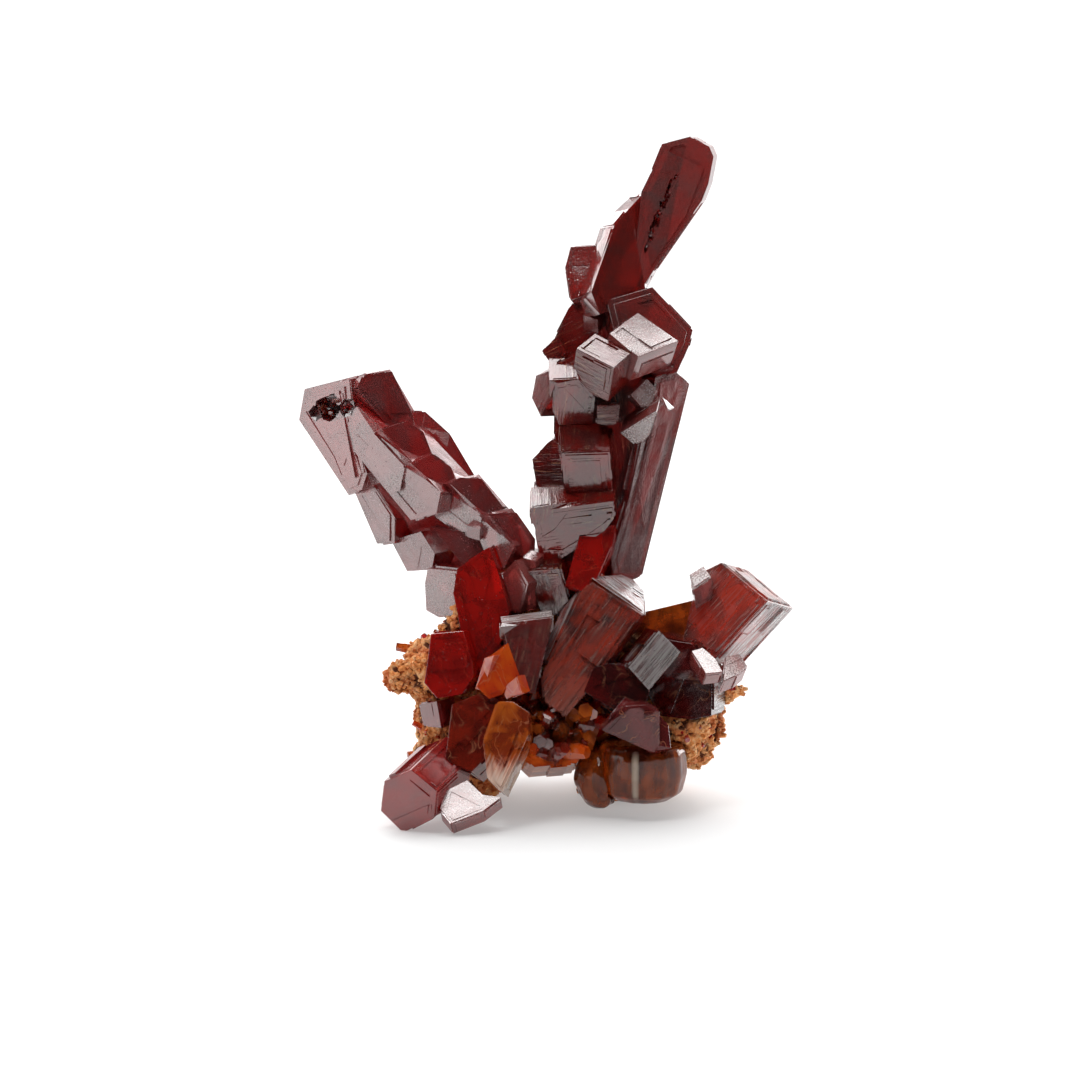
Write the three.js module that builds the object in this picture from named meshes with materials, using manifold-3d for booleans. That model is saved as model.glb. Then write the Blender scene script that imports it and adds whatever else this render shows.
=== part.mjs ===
// Vanadinite on matrix: clusters of thick hexagonal tablets grown on a lump of porous ironstone.
//
// The cluster is laid out in its own upright frame, in millimetres: x to the right, h up along the
// cluster and d towards the front. The finished cluster leans back by LEAN_DEG and stands on the
// matrix, which is sawn flat underneath. The exported group is +Z up.
import * as THREE from "three";
import { mergeVertices } from "three/addons/utils/BufferGeometryUtils.js";
import Module from "manifold-3d";

const wasm = await Module();
wasm.setup();

// Driving dimensions
const LEAN_DEG = 12;
const GAP = 0.3; // clearance kept between neighbouring pieces
const SAW_LEVEL = 1.98; // height of the sawn base above the cluster's own zero
const STEP_RISE = 0.14; // height of a growth step on a face
const STEP_INSET = 0.45; // how far a growth step stands back from the face's edge
const BARREL_SIDES = 14; // sides of the rounded, barrel-shaped crystal
const HUGE = 60; // larger than the whole specimen, for cutting tools

// Colours and surfaces
const DEEP_RED = { color: 0x5a0f10, roughness: 0.18, metalness: 0 };
const LILAC_RED = { color: 0x8c5f63, roughness: 0.24, metalness: 0 };
const MAUVE_GREY = { color: 0x5e4a4c, roughness: 0.22, metalness: 0 };
const BLOOD_RED = { color: 0x7c0d0a, roughness: 0.12, metalness: 0 };
const BLACK_RED = { color: 0x2a0506, roughness: 0.15, metalness: 0 };
const ORANGE = { color: 0xb0380d, roughness: 0.14, metalness: 0 };
const HONEY = { color: 0xa05a1c, roughness: 0.16, metalness: 0 };
const PALE = { color: 0xc9bfbf, roughness: 0.25, metalness: 0 };
const IRONSTONE = { color: 0xb07c46, roughness: 0.95, metalness: 0 };

// ---------------------------------------------------------------- solids and meshes

/** A manifold solid from a closed three.js geometry. */
function toSolid(geometry) {
  const bare = geometry.clone();
  bare.deleteAttribute("normal");
  bare.deleteAttribute("uv");
  const merged = mergeVertices(bare, 1e-5);
  return new wasm.Manifold(
    new wasm.Mesh({
      numProp: 3,
      vertProperties: new Float32Array(merged.attributes.position.array),
      triVerts: new Uint32Array(merged.index.array),
    }),
  );
}

/** The largest connected piece of a solid, so that no loose sliver is left after a cut. */
function largestPiece(solid) {
  const pieces = solid.decompose();
  return pieces.reduce((best, piece) => (piece.volume() > best.volume() ? piece : best));
}

/** A three.js geometry from a manifold solid. */
function toGeometry(solid) {
  const mesh = solid.getMesh();
  const geometry = new THREE.BufferGeometry();
  geometry.setAttribute("position", new THREE.BufferAttribute(new Float32Array(mesh.vertProperties), 3));
  geometry.setIndex(new THREE.BufferAttribute(new Uint32Array(mesh.triVerts), 1));
  geometry.computeVertexNormals();
  return geometry;
}

/** All the solids in a list joined into one. */
function joined(solids) {
  return solids.reduce((whole, solid) => whole.add(solid));
}

// ---------------------------------------------------------------- crystals

/** The plane of a face: `turn` swings its normal to the right of the front, `tip` raises it. */
function facePlane(turn, tip) {
  const rotation = new THREE.Matrix4().makeRotationY(THREE.MathUtils.degToRad(turn));
  rotation.multiply(new THREE.Matrix4().makeRotationX(THREE.MathUtils.degToRad(-tip)));
  const across = new THREE.Vector3();
  const up = new THREE.Vector3();
  const out = new THREE.Vector3();
  rotation.extractBasis(across, up, out);
  return { rotation, across, up, out };
}

/** Face corners given as seen from the front (x, h), laid onto the tilted plane of the face. */
function laidOnPlane(corners, centre, plane) {
  const det = plane.across.x * plane.up.y - plane.up.x * plane.across.y;
  return corners.map(([x, h]) => {
    const dx = x - centre.x;
    const dh = h - centre.y;
    return new THREE.Vector2(
      (dx * plane.up.y - dh * plane.up.x) / det,
      (dh * plane.across.x - dx * plane.across.y) / det,
    );
  });
}

/** A six-sided outline with corners of 120 degrees, from how far each side lies from the middle. */
function hexagon(reach, roll) {
  const normal = (side) => {
    const angle = THREE.MathUtils.degToRad(roll + 60 * side);
    return new THREE.Vector2(Math.cos(angle), Math.sin(angle));
  };
  return reach.map((distance, side) => {
    const next = (side + 1) % 6;
    return crossing(normal(side), distance, normal(next), reach[next]);
  });
}

/** The point that lies at distance a along normal n and at distance b along normal m. */
function crossing(n, a, m, b) {
  const det = n.x * m.y - n.y * m.x;
  return new THREE.Vector2((a * m.y - b * n.y) / det, (b * n.x - a * m.x) / det);
}

/** The outline moved outwards by `distance` on every side; inwards when it is negative. */
function offsetOutline(points, distance) {
  if (distance === 0) {
    return points;
  }
  const anticlockwise = THREE.ShapeUtils.area(points) > 0 ? points : [...points].reverse();
  const sides = anticlockwise.map((point, i) => {
    const next = anticlockwise[(i + 1) % anticlockwise.length];
    const along = next.clone().sub(point).normalize();
    const normal = new THREE.Vector2(along.y, -along.x);
    return { normal, distance: normal.dot(point) + distance };
  });
  return sides.map((side, i) => {
    const before = sides[(i + sides.length - 1) % sides.length];
    return crossing(before.normal, before.distance, side.normal, side.distance);
  });
}

/** A straight-sided block under an outline, from `front` back by `thick`, in the face's own frame. */
function block(outline, front, thick) {
  const geometry = new THREE.ExtrudeGeometry(new THREE.Shape(outline), {
    depth: thick,
    bevelEnabled: false,
  });
  geometry.translate(0, 0, front - thick);
  return geometry;
}

/**
 * One crystal: a hexagonal tablet or prism. Its front face has either `corners`, as seen from the
 * front, with the `depth` of their middle, or a `reach` about the point `at`. It runs back from that
 * face by `thick`. `steps` growth steps stand on the face. `grow` makes the whole crystal fatter.
 */
function crystal(spec, grow = 0) {
  if (spec.shape) {
    return spec.shape(spec, grow);
  }
  const plane = facePlane(spec.turn, spec.tip ?? 0);
  let centre;
  let outline;
  if (spec.corners) {
    const box = new THREE.Box2().setFromPoints(spec.corners.map(([x, h]) => new THREE.Vector2(x, h)));
    const middle = box.getCenter(new THREE.Vector2());
    centre = new THREE.Vector3(middle.x, middle.y, spec.depth);
    outline = laidOnPlane(spec.corners, centre, plane);
  } else {
    centre = new THREE.Vector3(...spec.at);
    outline = hexagon(spec.reach, spec.roll ?? 0);
  }
  const place = plane.rotation.clone().setPosition(centre);
  const body = block(offsetOutline(outline, grow), grow, spec.thick + 2 * grow);
  let solid = toSolid(body.applyMatrix4(place));
  for (let step = 1; step <= (spec.steps ?? 0); step += 1) {
    const edge = offsetOutline(outline, grow - step * STEP_INSET);
    const terrace = block(edge, grow + step * STEP_RISE, spec.thick / 2);
    solid = solid.add(toSolid(terrace.applyMatrix4(place)));
  }
  return solid;
}

// ---------------------------------------------------------------- rounded shapes

/** A smooth, repeatable unevenness between about -1 and 1 at a point. */
function unevenness(point, size) {
  const { x, y, z } = point.clone().divideScalar(size);
  return (
    0.6 * Math.sin(x * 1.7 + 1.1) * Math.sin(y * 2.1 + 0.4) * Math.sin(z * 1.9 + 2.3) +
    0.4 * Math.sin(x * 3.9 + y * 2.2) * Math.sin(z * 4.3 - y * 1.6 + 0.7)
  );
}

/** A barrel-shaped crystal on the axis through `at`, with its rounded sides. */
function barrel({ at, turn, tip, widest, height }, grow = 0) {
  const half = height / 2 + grow;
  const wide = widest + grow;
  const profile = [
    [0, -half],
    [0.62 * wide, -half],
    [0.9 * wide, -0.72 * half],
    [wide, 0],
    [0.97 * wide, 0.8 * half],
    [0.9 * wide, half],
    [0, half],
  ];
  const points = profile.map(([radius, level]) => new THREE.Vector2(radius, level));
  const geometry = new THREE.LatheGeometry(points, BARREL_SIDES);
  geometry.rotateX(Math.PI / 2);
  const place = facePlane(turn, tip).rotation.setPosition(new THREE.Vector3(...at));
  return toSolid(geometry.applyMatrix4(place));
}

/** A lumpy ball of rock about `at`, with its own three radii. */
function lump({ at, radii, detail }, grow = 0) {
  const geometry = new THREE.IcosahedronGeometry(1, detail);
  const place = geometry.attributes.position;
  const centre = new THREE.Vector3(...at);
  const size = new THREE.Vector3(...radii).addScalar(grow);
  const point = new THREE.Vector3();
  for (let i = 0; i < place.count; i += 1) {
    point.fromBufferAttribute(place, i).normalize();
    const around = point.clone().multiply(size).add(centre);
    const swell = 1 + 0.15 * unevenness(around, 1.5) + 0.1 * unevenness(around, 0.6);
    point.multiply(size).multiplyScalar(swell).add(centre);
    place.setXYZ(i, point.x, point.y, point.z);
  }
  return toSolid(geometry);
}

// ---------------------------------------------------------------- the left arm

// Tablets stacked in parallel, so their front faces share one direction and their side faces another.
const ARM = { turn: -35, tip: -7 };
const ARM_SIDE = { turn: 22, tip: 4 };

const leftArm = [
  {
    ...ARM,
    depth: -2.9,
    thick: 4.2,
    corners: [[-20.7, 32.9], [-20.3, 35.2], [-16.2, 36.2], [-13.9, 32.3], [-12.8, 28.8], [-16.8, 27]],
  },
  {
    ...ARM_SIDE,
    depth: -0.9,
    thick: 4.6,
    corners: [[-16, 35.3], [-15.6, 36.2], [-13.6, 36.5], [-12, 33.2], [-11.9, 32.4], [-13.9, 32.2]],
  },
  {
    ...ARM,
    depth: -2.6,
    thick: 1.6,
    steps: 1,
    corners: [
      [-20.7, 32.9], [-20.3, 35.1], [-16.9, 35.9], [-16.7, 33.6], [-15.5, 28.6], [-15.9, 27.4],
      [-16.8, 27],
    ],
  },
  {
    ...ARM,
    depth: 0.5,
    thick: 4.8,
    corners: [[-17.3, 31.5], [-16.2, 33.8], [-13.9, 31.6], [-9.6, 27], [-9.9, 25.5], [-11.8, 25]],
  },
  {
    ...ARM_SIDE,
    depth: 0.85,
    thick: 3.6,
    corners: [[-14.1, 32], [-12.3, 32.5], [-11.1, 31.7], [-10.4, 29.9], [-11.6, 28.8]],
  },
  {
    ...ARM_SIDE,
    depth: 2,
    thick: 3.8,
    corners: [[-11.7, 29.2], [-10.3, 29.9], [-8.9, 28.9], [-8.3, 27.6], [-9.5, 26.9]],
  },
  {
    ...ARM,
    depth: -2.8,
    thick: 3.6,
    corners: [[-16.3, 27.2], [-15.2, 28], [-13.3, 25], [-13.3, 23.1], [-14.5, 23.1]],
  },
  {
    ...ARM,
    depth: -2.1,
    thick: 3.6,
    corners: [[-13.3, 23.1], [-11.1, 23.7], [-10.1, 22.1], [-10.3, 21], [-12.1, 20.9]],
  },
  {
    ...ARM,
    depth: 1.6,
    thick: 3.6,
    corners: [[-9.8, 25.2], [-8.6, 27.8], [-6.3, 25.1], [-6.5, 23.9], [-7.7, 23.6]],
  },
  {
    ...ARM_SIDE,
    depth: 2.2,
    thick: 3,
    corners: [[-8.7, 27.7], [-8, 28], [-6.4, 27.9], [-4.3, 25.3], [-6.2, 25.1]],
  },
  {
    ...ARM,
    depth: 3.4,
    thick: 2.6,
    corners: [[-6.4, 23.8], [-5.4, 25.2], [-3.7, 22.7], [-4.5, 20.9], [-5.3, 20.9]],
  },
  {
    ...ARM_SIDE,
    depth: 3.8,
    thick: 2.6,
    corners: [[-5.6, 25.2], [-3.6, 25.2], [-2.2, 23.2], [-2.3, 21.4], [-3.6, 22.5]],
  },
  {
    turn: -8,
    tip: -2,
    depth: 1.6,
    thick: 2.4,
    corners: [[-10.1, 24.2], [-7.6, 23.7], [-5.4, 22.4], [-6.4, 20.4], [-7.6, 21.4]],
  },
  {
    turn: 12,
    tip: 3,
    depth: -3.2,
    thick: 3.6,
    corners: [
      [-16.6, 31.4], [-14, 32.5], [-12, 33.3], [-10.9, 33.3], [-9, 31.6], [-6.8, 27.9], [-4.6, 25],
      [-4.8, 22.8], [-5.9, 20], [-9.9, 21.4], [-13.9, 26.4],
    ],
  },
];

// The broken place on the outermost tablet
const armTipHollow = { at: [-18.3, 33.5, -2.4], radii: [1.7, 0.9, 0.9], detail: 2 };

// ---------------------------------------------------------------- the tower

const TOWER = { turn: -4, tip: -25 };
const TOWER_LID = { turn: -2, tip: 57 };

const towerStack = [
  {
    turn: 0,
    tip: -6,
    depth: 0.8,
    thick: 5.5,
    corners: [
      [-0.2, 37.1], [3.2, 38.8], [7, 35.6], [6.4, 30.8], [4.2, 21.6], [2.4, 19], [-0.8, 19],
      [-1.5, 24.8], [-0.2, 31.2],
    ],
  },
  {
    ...TOWER,
    depth: 2.6,
    thick: 3.8,
    corners: [[-0.4, 35.8], [1.4, 35.9], [2.6, 34.6], [2.4, 32.4], [0.2, 32.3], [-0.4, 33.6]],
  },
  {
    ...TOWER,
    depth: 4.2,
    thick: 4.6,
    steps: 1,
    corners: [[0.3, 30], [3.8, 30.1], [4.1, 26.2], [0.6, 26]],
  },
  {
    ...TOWER,
    depth: 4.4,
    thick: 5,
    corners: [
      [-2.2, 25.6], [4.1, 26.2], [4.1, 25], [3.4, 24.1], [0.6, 22.3], [-1.3, 20.8], [-1.8, 24.1],
    ],
  },
  {
    ...TOWER,
    depth: 4.2,
    thick: 4,
    corners: [[-2.4, 20.7], [-0.2, 20.8], [0.5, 18.4], [0, 17.3], [-1.4, 17.8]],
  },
  {
    turn: -15,
    tip: -5,
    depth: 2.2,
    thick: 3.5,
    corners: [[-2, 29.6], [-0.6, 31], [0.9, 30.4], [0.9, 27.6], [-1.7, 27.6]],
  },
  {
    turn: -50,
    tip: 0,
    depth: 0.6,
    thick: 3,
    corners: [[-2, 34.6], [-1.7, 36.2], [-0.7, 36.7], [-0.3, 35.2], [-1.4, 33.3]],
  },
  {
    turn: -10,
    tip: 0,
    depth: 0.2,
    thick: 2,
    corners: [[-1.2, 38.3], [-0.2, 39.3], [0.3, 38.2], [-0.6, 37.4]],
  },
  {
    turn: -12,
    tip: -5,
    depth: -0.6,
    thick: 4,
    corners: [[1.1, 42.2], [3.2, 43.2], [6.4, 42.4], [4.8, 37.6], [0.2, 37.4], [-0.2, 39.4]],
  },
  {
    ...TOWER_LID,
    depth: 2.2,
    thick: 1.4,
    corners: [[-0.7, 37.5], [1.1, 37.5], [1.3, 36], [-0.7, 35.9]],
  },
  {
    ...TOWER_LID,
    depth: 3.45,
    thick: 1.6,
    corners: [[0.1, 32.3], [3.6, 32.1], [3.8, 30.2], [0.2, 30.2]],
  },
  {
    ...TOWER_LID,
    depth: 4.6,
    thick: 1.2,
    corners: [[-2.2, 27.2], [0.3, 27.2], [0.4, 26.1], [-2.2, 25.7]],
  },
];

const plume = [
  {
    turn: -8,
    tip: -3,
    depth: 0.8,
    thick: 2.2,
    corners: [
      [8.3, 54.7], [10.4, 55.2], [11.8, 54.5], [12.1, 53.8], [11.7, 51.7], [11.2, 50.4], [7.2, 44.6],
      [6.3, 43], [5.9, 45.4], [6.7, 51], [7.5, 52.6],
    ],
  },
  {
    turn: 24,
    tip: 3,
    depth: 0.6,
    thick: 2.4,
    corners: [
      [6.9, 50.8], [5.5, 49.5], [4.4, 48.2], [3.9, 46.8], [2.6, 43], [3.2, 41.4], [6.4, 42.4],
      [7.2, 45.6], [8.3, 51.2],
    ],
  },
];

// ---------------------------------------------------------------- pieces
//
// A piece gives way to every piece that stands before it in this list.

const PIECES = [
  {
    name: "front_block",
    finish: MAUVE_GREY,
    crystals: [
      {
        turn: -40,
        tip: -29,
        depth: 5.2,
        thick: 2.3,
        corners: [[1.5, 38.3], [4.2, 36.9], [3.8, 34.5], [2.5, 35.1], [1.3, 37]],
      },
    ],
  },
  {
    name: "upper_block",
    finish: PALE,
    crystals: [
      {
        turn: 21,
        tip: 47,
        depth: 3.6,
        thick: 2.3,
        corners: [[6.2, 41.1], [9.2, 39], [6.2, 37.8], [4.1, 39.5]],
      },
    ],
  },
  {
    name: "tower_square_crystal",
    finish: MAUVE_GREY,
    crystals: [
      {
        turn: -5,
        tip: -5,
        depth: 3.9,
        thick: 2.6,
        corners: [[3.1, 33.8], [4.5, 33.9], [4.3, 32.6], [3.1, 32.6]],
      },
    ],
  },
  {
    name: "tower_bright_crystal",
    finish: PALE,
    crystals: [
      {
        turn: -10,
        tip: -35,
        depth: 3.6,
        thick: 1.9,
        corners: [[5, 31.8], [7.6, 33.5], [6.8, 31.5], [5.9, 31.1]],
      },
    ],
  },
  {
    name: "tower_hex_crystal",
    finish: PALE,
    crystals: [
      {
        turn: 10,
        tip: 0,
        depth: 3.3,
        thick: 2.2,
        corners: [[6.8, 35.8], [7.5, 35.1], [7.1, 34], [6.4, 34.1], [5.8, 34.8]],
      },
    ],
  },
  {
    name: "hex_plate",
    finish: DEEP_RED,
    crystals: [
      {
        turn: 8,
        tip: 4,
        depth: 1.4,
        thick: 2.8,
        steps: 1,
        corners: [
          [3.9, 42.2], [7.3, 43.2], [10.4, 39.9], [10.1, 38.7], [9.1, 36.5], [7.9, 36.3], [4.8, 38.2],
        ],
      },
    ],
  },
  {
    name: "tall_slab",
    finish: DEEP_RED,
    crystals: [
      {
        turn: 15,
        tip: -5,
        depth: 1.9,
        thick: 3.2,
        steps: 1,
        corners: [
          [7.7, 36], [9.2, 36.4], [10.1, 35.6], [6.4, 20.6], [5.7, 20.2], [4.4, 20.3], [4.2, 21.8],
          [5.6, 26.4],
        ],
      },
    ],
  },
  {
    name: "red_ledge_crystal",
    finish: BLOOD_RED,
    crystals: [
      {
        turn: -5,
        tip: 8,
        depth: 4.6,
        thick: 3,
        corners: [[1.7, 23.4], [4.2, 24.2], [3.9, 22.6], [2.8, 20.1], [1.7, 19.3], [0.6, 19.6]],
      },
    ],
  },
  {
    name: "centre_prism",
    finish: DEEP_RED,
    crystals: [
      {
        turn: 0,
        tip: 10,
        depth: 6,
        thick: 5.4,
        corners: [
          [2.3, 19.9], [2.7, 20], [6.5, 17.3], [5.2, 15.5], [1.8, 11], [0.4, 9.4], [-1, 10.4],
          [-1.2, 12.6], [-0.75, 13.4],
        ],
      },
      {
        turn: -55,
        tip: 27,
        depth: 4.8,
        thick: 1.6,
        corners: [[2.3, 19.9], [0.5, 17.8], [-0.6, 15.6], [-1.5, 13.6], [-0.75, 13.4]],
      },
      {
        turn: 50,
        tip: 50,
        depth: 5.2,
        thick: 2.2,
        corners: [[2.6, 20], [5, 20.2], [5.8, 19.8], [6.5, 19], [6.5, 17.3]],
      },
    ],
  },
  {
    name: "wedge_crystal",
    finish: MAUVE_GREY,
    crystals: [
      {
        turn: 0,
        tip: 3,
        depth: 7.4,
        thick: 3.4,
        corners: [[-4.6, 16.4], [-0.8, 16.9], [-2.1, 11.2], [-3, 11.2]],
      },
      {
        turn: 0,
        tip: 62,
        depth: 6.5,
        thick: 0.8,
        corners: [[-4.6, 16.9], [-0.8, 17.4], [-0.8, 16.75], [-4.6, 16.25]],
      },
    ],
  },
  {
    name: "dark_block",
    finish: BLACK_RED,
    crystals: [
      {
        turn: 5,
        tip: -10,
        depth: 9.4,
        thick: 1.6,
        corners: [[3.5, 8.2], [5.2, 9.9], [6.7, 10], [7.7, 9.5], [7.6, 6.9], [7.4, 6.6]],
      },
      {
        turn: 10,
        tip: 10,
        depth: 8.6,
        thick: 1.4,
        corners: [[7.2, 6.7], [7.5, 9.4], [8.4, 8.4], [8.6, 6.8]],
      },
      {
        turn: 25,
        tip: 50,
        depth: 8.7,
        thick: 0.8,
        corners: [[4.1, 9.4], [5.2, 10.5], [6.1, 10.1], [5.1, 9.5]],
      },
    ],
  },
  {
    name: "dark_prism",
    finish: BLACK_RED,
    crystals: [
      {
        turn: 0,
        tip: 8,
        depth: 7,
        thick: 5,
        corners: [[2.1, 11.2], [2.8, 12.9], [3.9, 13.2], [5.6, 13.2], [6.9, 11.4], [6.6, 10], [5, 9.5]],
      },
      {
        turn: 13,
        tip: -2,
        depth: 7.8,
        thick: 4,
        corners: [[7.8, 15.8], [9.3, 14.3], [7, 11.5], [5.6, 13.1]],
      },
    ],
  },
  {
    name: "right_prism",
    finish: DEEP_RED,
    crystals: [
      {
        turn: -30,
        tip: 8,
        depth: 3.9,
        thick: 4,
        corners: [[12.9, 21.2], [16.4, 18.3], [12.3, 13.8], [9.9, 14.8], [10.7, 18.1], [11.7, 20.6]],
      },
    ],
  },
  {
    name: "white_cube",
    finish: PALE,
    crystals: [
      {
        turn: -10,
        tip: 50,
        depth: 4.4,
        thick: 1.8,
        corners: [[10.5, 20.3], [11.4, 20.9], [11.8, 20.1], [10.7, 19.3]],
      },
    ],
  },
  {
    name: "ledge_plate",
    finish: PALE,
    crystals: [
      {
        turn: 20,
        tip: 48,
        depth: 6.6,
        thick: 0.9,
        corners: [[10.6, 14.2], [11.3, 14.4], [12.2, 13.6], [12.7, 12.7], [11.6, 12.6]],
      },
    ],
  },
  {
    name: "dark_crystal",
    finish: BLACK_RED,
    crystals: [
      {
        turn: -15,
        tip: -5,
        depth: 5.2,
        thick: 4,
        corners: [
          [7.6, 15.4], [10.4, 14.8], [11.9, 12.3], [11.9, 9.4], [10.4, 9.1], [8, 9.4], [7, 11.4],
        ],
      },
    ],
  },
  {
    name: "ledge_crystal",
    finish: PALE,
    crystals: [
      {
        turn: 25,
        tip: 45,
        depth: 5.4,
        thick: 1.2,
        corners: [[13, 12], [13.3, 13.7], [14.2, 13.9], [14.7, 13.1], [13.8, 12.4]],
      },
    ],
  },
  {
    name: "bridge_crystal",
    finish: HONEY,
    crystals: [
      {
        turn: 0,
        tip: 15,
        depth: 1.9,
        thick: 3,
        corners: [[6.4, 17.2], [7.4, 17.4], [10.6, 18.2], [11, 16], [7.2, 14.8]],
      },
    ],
  },
  {
    name: "barrel_crystal",
    finish: HONEY,
    crystals: [{ shape: barrel, turn: 5, tip: 78, at: [6.5, 4.9, 4.2], widest: 3.5, height: 4.3 }],
  },
  {
    name: "foot_lobe",
    finish: HONEY,
    crystals: [{ shape: lump, at: [3.2, 4.4, 4.2], radii: [1.9, 2.3, 2.2], detail: 3 }],
  },
  {
    name: "amber_floor_crystal",
    finish: HONEY,
    crystals: [
      {
        turn: 6,
        tip: 12,
        depth: 5.4,
        thick: 4,
        corners: [
          [-3.4, 9.2], [-1.2, 10.4], [1.2, 9.6], [2.4, 7.6], [1.2, 5.6], [-2, 5.3], [-3.6, 6.8],
        ],
      },
    ],
  },
  {
    name: "orange_crystal",
    finish: ORANGE,
    crystals: [
      {
        turn: -5,
        tip: 5,
        depth: 8,
        thick: 3.4,
        corners: [[-4.2, 14.8], [-3.4, 12.2], [-4.7, 11.1], [-5.6, 10.8], [-6.4, 11.6], [-5.5, 13.7]],
      },
      {
        ...ARM,
        depth: 7.9,
        thick: 0.9,
        corners: [[-6.5, 11.5], [-5.8, 13.7], [-5.3, 13.9], [-6, 11.4]],
      },
      {
        ...ARM,
        depth: 8.5,
        thick: 0.8,
        corners: [[-4.4, 11.4], [-3.4, 12.2], [-3.1, 11.2], [-4.1, 10.8]],
      },
    ],
  },
  {
    name: "red_blade",
    finish: BLOOD_RED,
    crystals: [
      {
        turn: -10,
        tip: -3,
        depth: 5.5,
        thick: 4,
        corners: [
          [-8.3, 19], [-8, 20.8], [-5.7, 22.4], [-5.1, 20.7], [-4.4, 18.3], [-4.2, 17.5], [-4.7, 15.4],
          [-6.2, 13.3], [-7, 12.2],
        ],
      },
    ],
  },
  {
    name: "lit_sliver",
    finish: PALE,
    crystals: [
      {
        ...ARM,
        depth: 4.8,
        thick: 2.4,
        corners: [[-4.4, 20.4], [-3.5, 21.4], [-2.6, 19.8], [-3.2, 17.6], [-4.2, 17.8]],
      },
    ],
  },
  {
    name: "red_knob",
    finish: BLOOD_RED,
    crystals: [
      {
        turn: -15,
        tip: -3,
        depth: 6.4,
        thick: 4.4,
        corners: [
          [-10.1, 15.6], [-7.8, 15.8], [-7.1, 13.6], [-7, 12.4], [-7.9, 11.1], [-9.7, 10.8],
          [-10.6, 11.9], [-10.3, 13.9],
        ],
      },
    ],
  },
  {
    name: "small_left_crystal",
    finish: LILAC_RED,
    crystals: [
      {
        ...ARM,
        depth: 5,
        thick: 2,
        corners: [[-11, 10], [-9.8, 10.2], [-9.5, 8.5], [-10.7, 8.6]],
      },
    ],
  },
  {
    name: "honey_blade",
    finish: HONEY,
    crystals: [
      {
        turn: -8,
        tip: 8,
        depth: 9.6,
        thick: 3,
        corners: [
          [-4.8, 10.2], [-3.8, 10.2], [-2.6, 9.4], [-2.7, 7.7], [-3.8, 5.2], [-4.6, 3.4], [-5.6, 4.4],
          [-5.9, 7.2],
        ],
      },
    ],
  },
  {
    name: "corner_prism",
    finish: LILAC_RED,
    crystals: [
      {
        turn: -26,
        tip: -22,
        depth: 10,
        thick: 6.5,
        corners: [[-13.7, 4], [-11.7, 4.9], [-9.9, 3.4], [-10.1, 1.4], [-12.4, 0], [-14, 1.8]],
      },
    ],
  },
  {
    name: "flat_bright_crystal",
    finish: PALE,
    crystals: [
      {
        turn: -6,
        tip: 32,
        depth: 10.2,
        thick: 1.3,
        corners: [
          [-9.3, 1.9], [-9, 3.1], [-7.4, 3.9], [-6.2, 2.8], [-4.9, 2.7], [-6.2, 1.8], [-8.5, 0.9],
        ],
      },
    ],
  },
  {
    name: "brown_crystal",
    finish: HONEY,
    crystals: [
      {
        turn: -10,
        tip: 10,
        depth: 7.8,
        thick: 5,
        corners: [[-8.9, 5.8], [-8.4, 10], [-6.4, 10.8], [-5, 10.4], [-4.9, 7.2], [-7, 5]],
      },
    ],
  },
  {
    name: "arm_root_block",
    finish: LILAC_RED,
    crystals: [
      {
        ...ARM,
        depth: 0.8,
        thick: 5,
        corners: [
          [-10.4, 20.8], [-8.2, 20.6], [-7.8, 17.4], [-9.6, 17.2], [-10.5, 17.7], [-10.6, 19.7],
        ],
      },
    ],
  },
  {
    name: "back_prism_left",
    finish: DEEP_RED,
    crystals: [
      {
        turn: -150,
        tip: 25,
        roll: 10,
        at: [-6.5, 17, -7],
        reach: [2.2, 2.6, 2.4, 2.2, 2.6, 2.4],
        thick: 6,
      },
    ],
  },
  {
    name: "back_prism_middle",
    finish: BLOOD_RED,
    crystals: [
      {
        turn: 172,
        tip: 35,
        roll: 20,
        at: [1, 18.6, -8.4],
        reach: [2.8, 3, 2.8, 2.8, 3, 2.8],
        thick: 7,
      },
    ],
  },
  {
    name: "back_prism_right",
    finish: DEEP_RED,
    crystals: [
      {
        turn: 148,
        tip: 10,
        roll: 0,
        at: [7.4, 14, -8.6],
        reach: [3, 2.6, 2.8, 3, 2.6, 2.8],
        thick: 6.5,
      },
    ],
  },
  {
    name: "back_plate_low",
    finish: BLACK_RED,
    crystals: [
      {
        turn: -165,
        tip: -5,
        roll: 15,
        at: [-3, 10.5, -9.8],
        reach: [2.6, 2.6, 2.6, 2.6, 2.6, 2.6],
        thick: 4.5,
      },
    ],
  },
  {
    name: "back_block_right",
    finish: ORANGE,
    crystals: [
      {
        turn: 110,
        tip: -5,
        roll: 8,
        at: [12.1, 10.2, -3.6],
        reach: [1.9, 2.2, 1.9, 1.9, 2.2, 1.9],
        thick: 5,
      },
    ],
  },
  {
    name: "back_block_left",
    finish: DEEP_RED,
    crystals: [
      {
        turn: -140,
        tip: -6,
        roll: 25,
        at: [-9.6, 8.4, -5.8],
        reach: [1.9, 2, 2, 1.9, 2, 2],
        thick: 4.5,
      },
    ],
  },
  {
    name: "back_block_low",
    finish: BLOOD_RED,
    crystals: [
      {
        turn: 165,
        tip: -14,
        roll: 12,
        at: [4.2, 8.2, -10.2],
        reach: [2, 2.2, 2, 2, 2.2, 2],
        thick: 4.5,
      },
    ],
  },
  {
    name: "tower_back_plate",
    finish: DEEP_RED,
    crystals: [
      {
        turn: 168,
        tip: 6,
        roll: 14,
        at: [2.4, 28, -6.4],
        reach: [2.3, 2.9, 2.5, 2.3, 2.9, 2.5],
        thick: 2.6,
      },
    ],
  },
  {
    name: "tower_back_block",
    finish: MAUVE_GREY,
    crystals: [
      {
        turn: -160,
        tip: 12,
        roll: 5,
        at: [2.6, 35.4, -6],
        reach: [1.9, 2.1, 1.9, 1.9, 2.1, 1.9],
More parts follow.
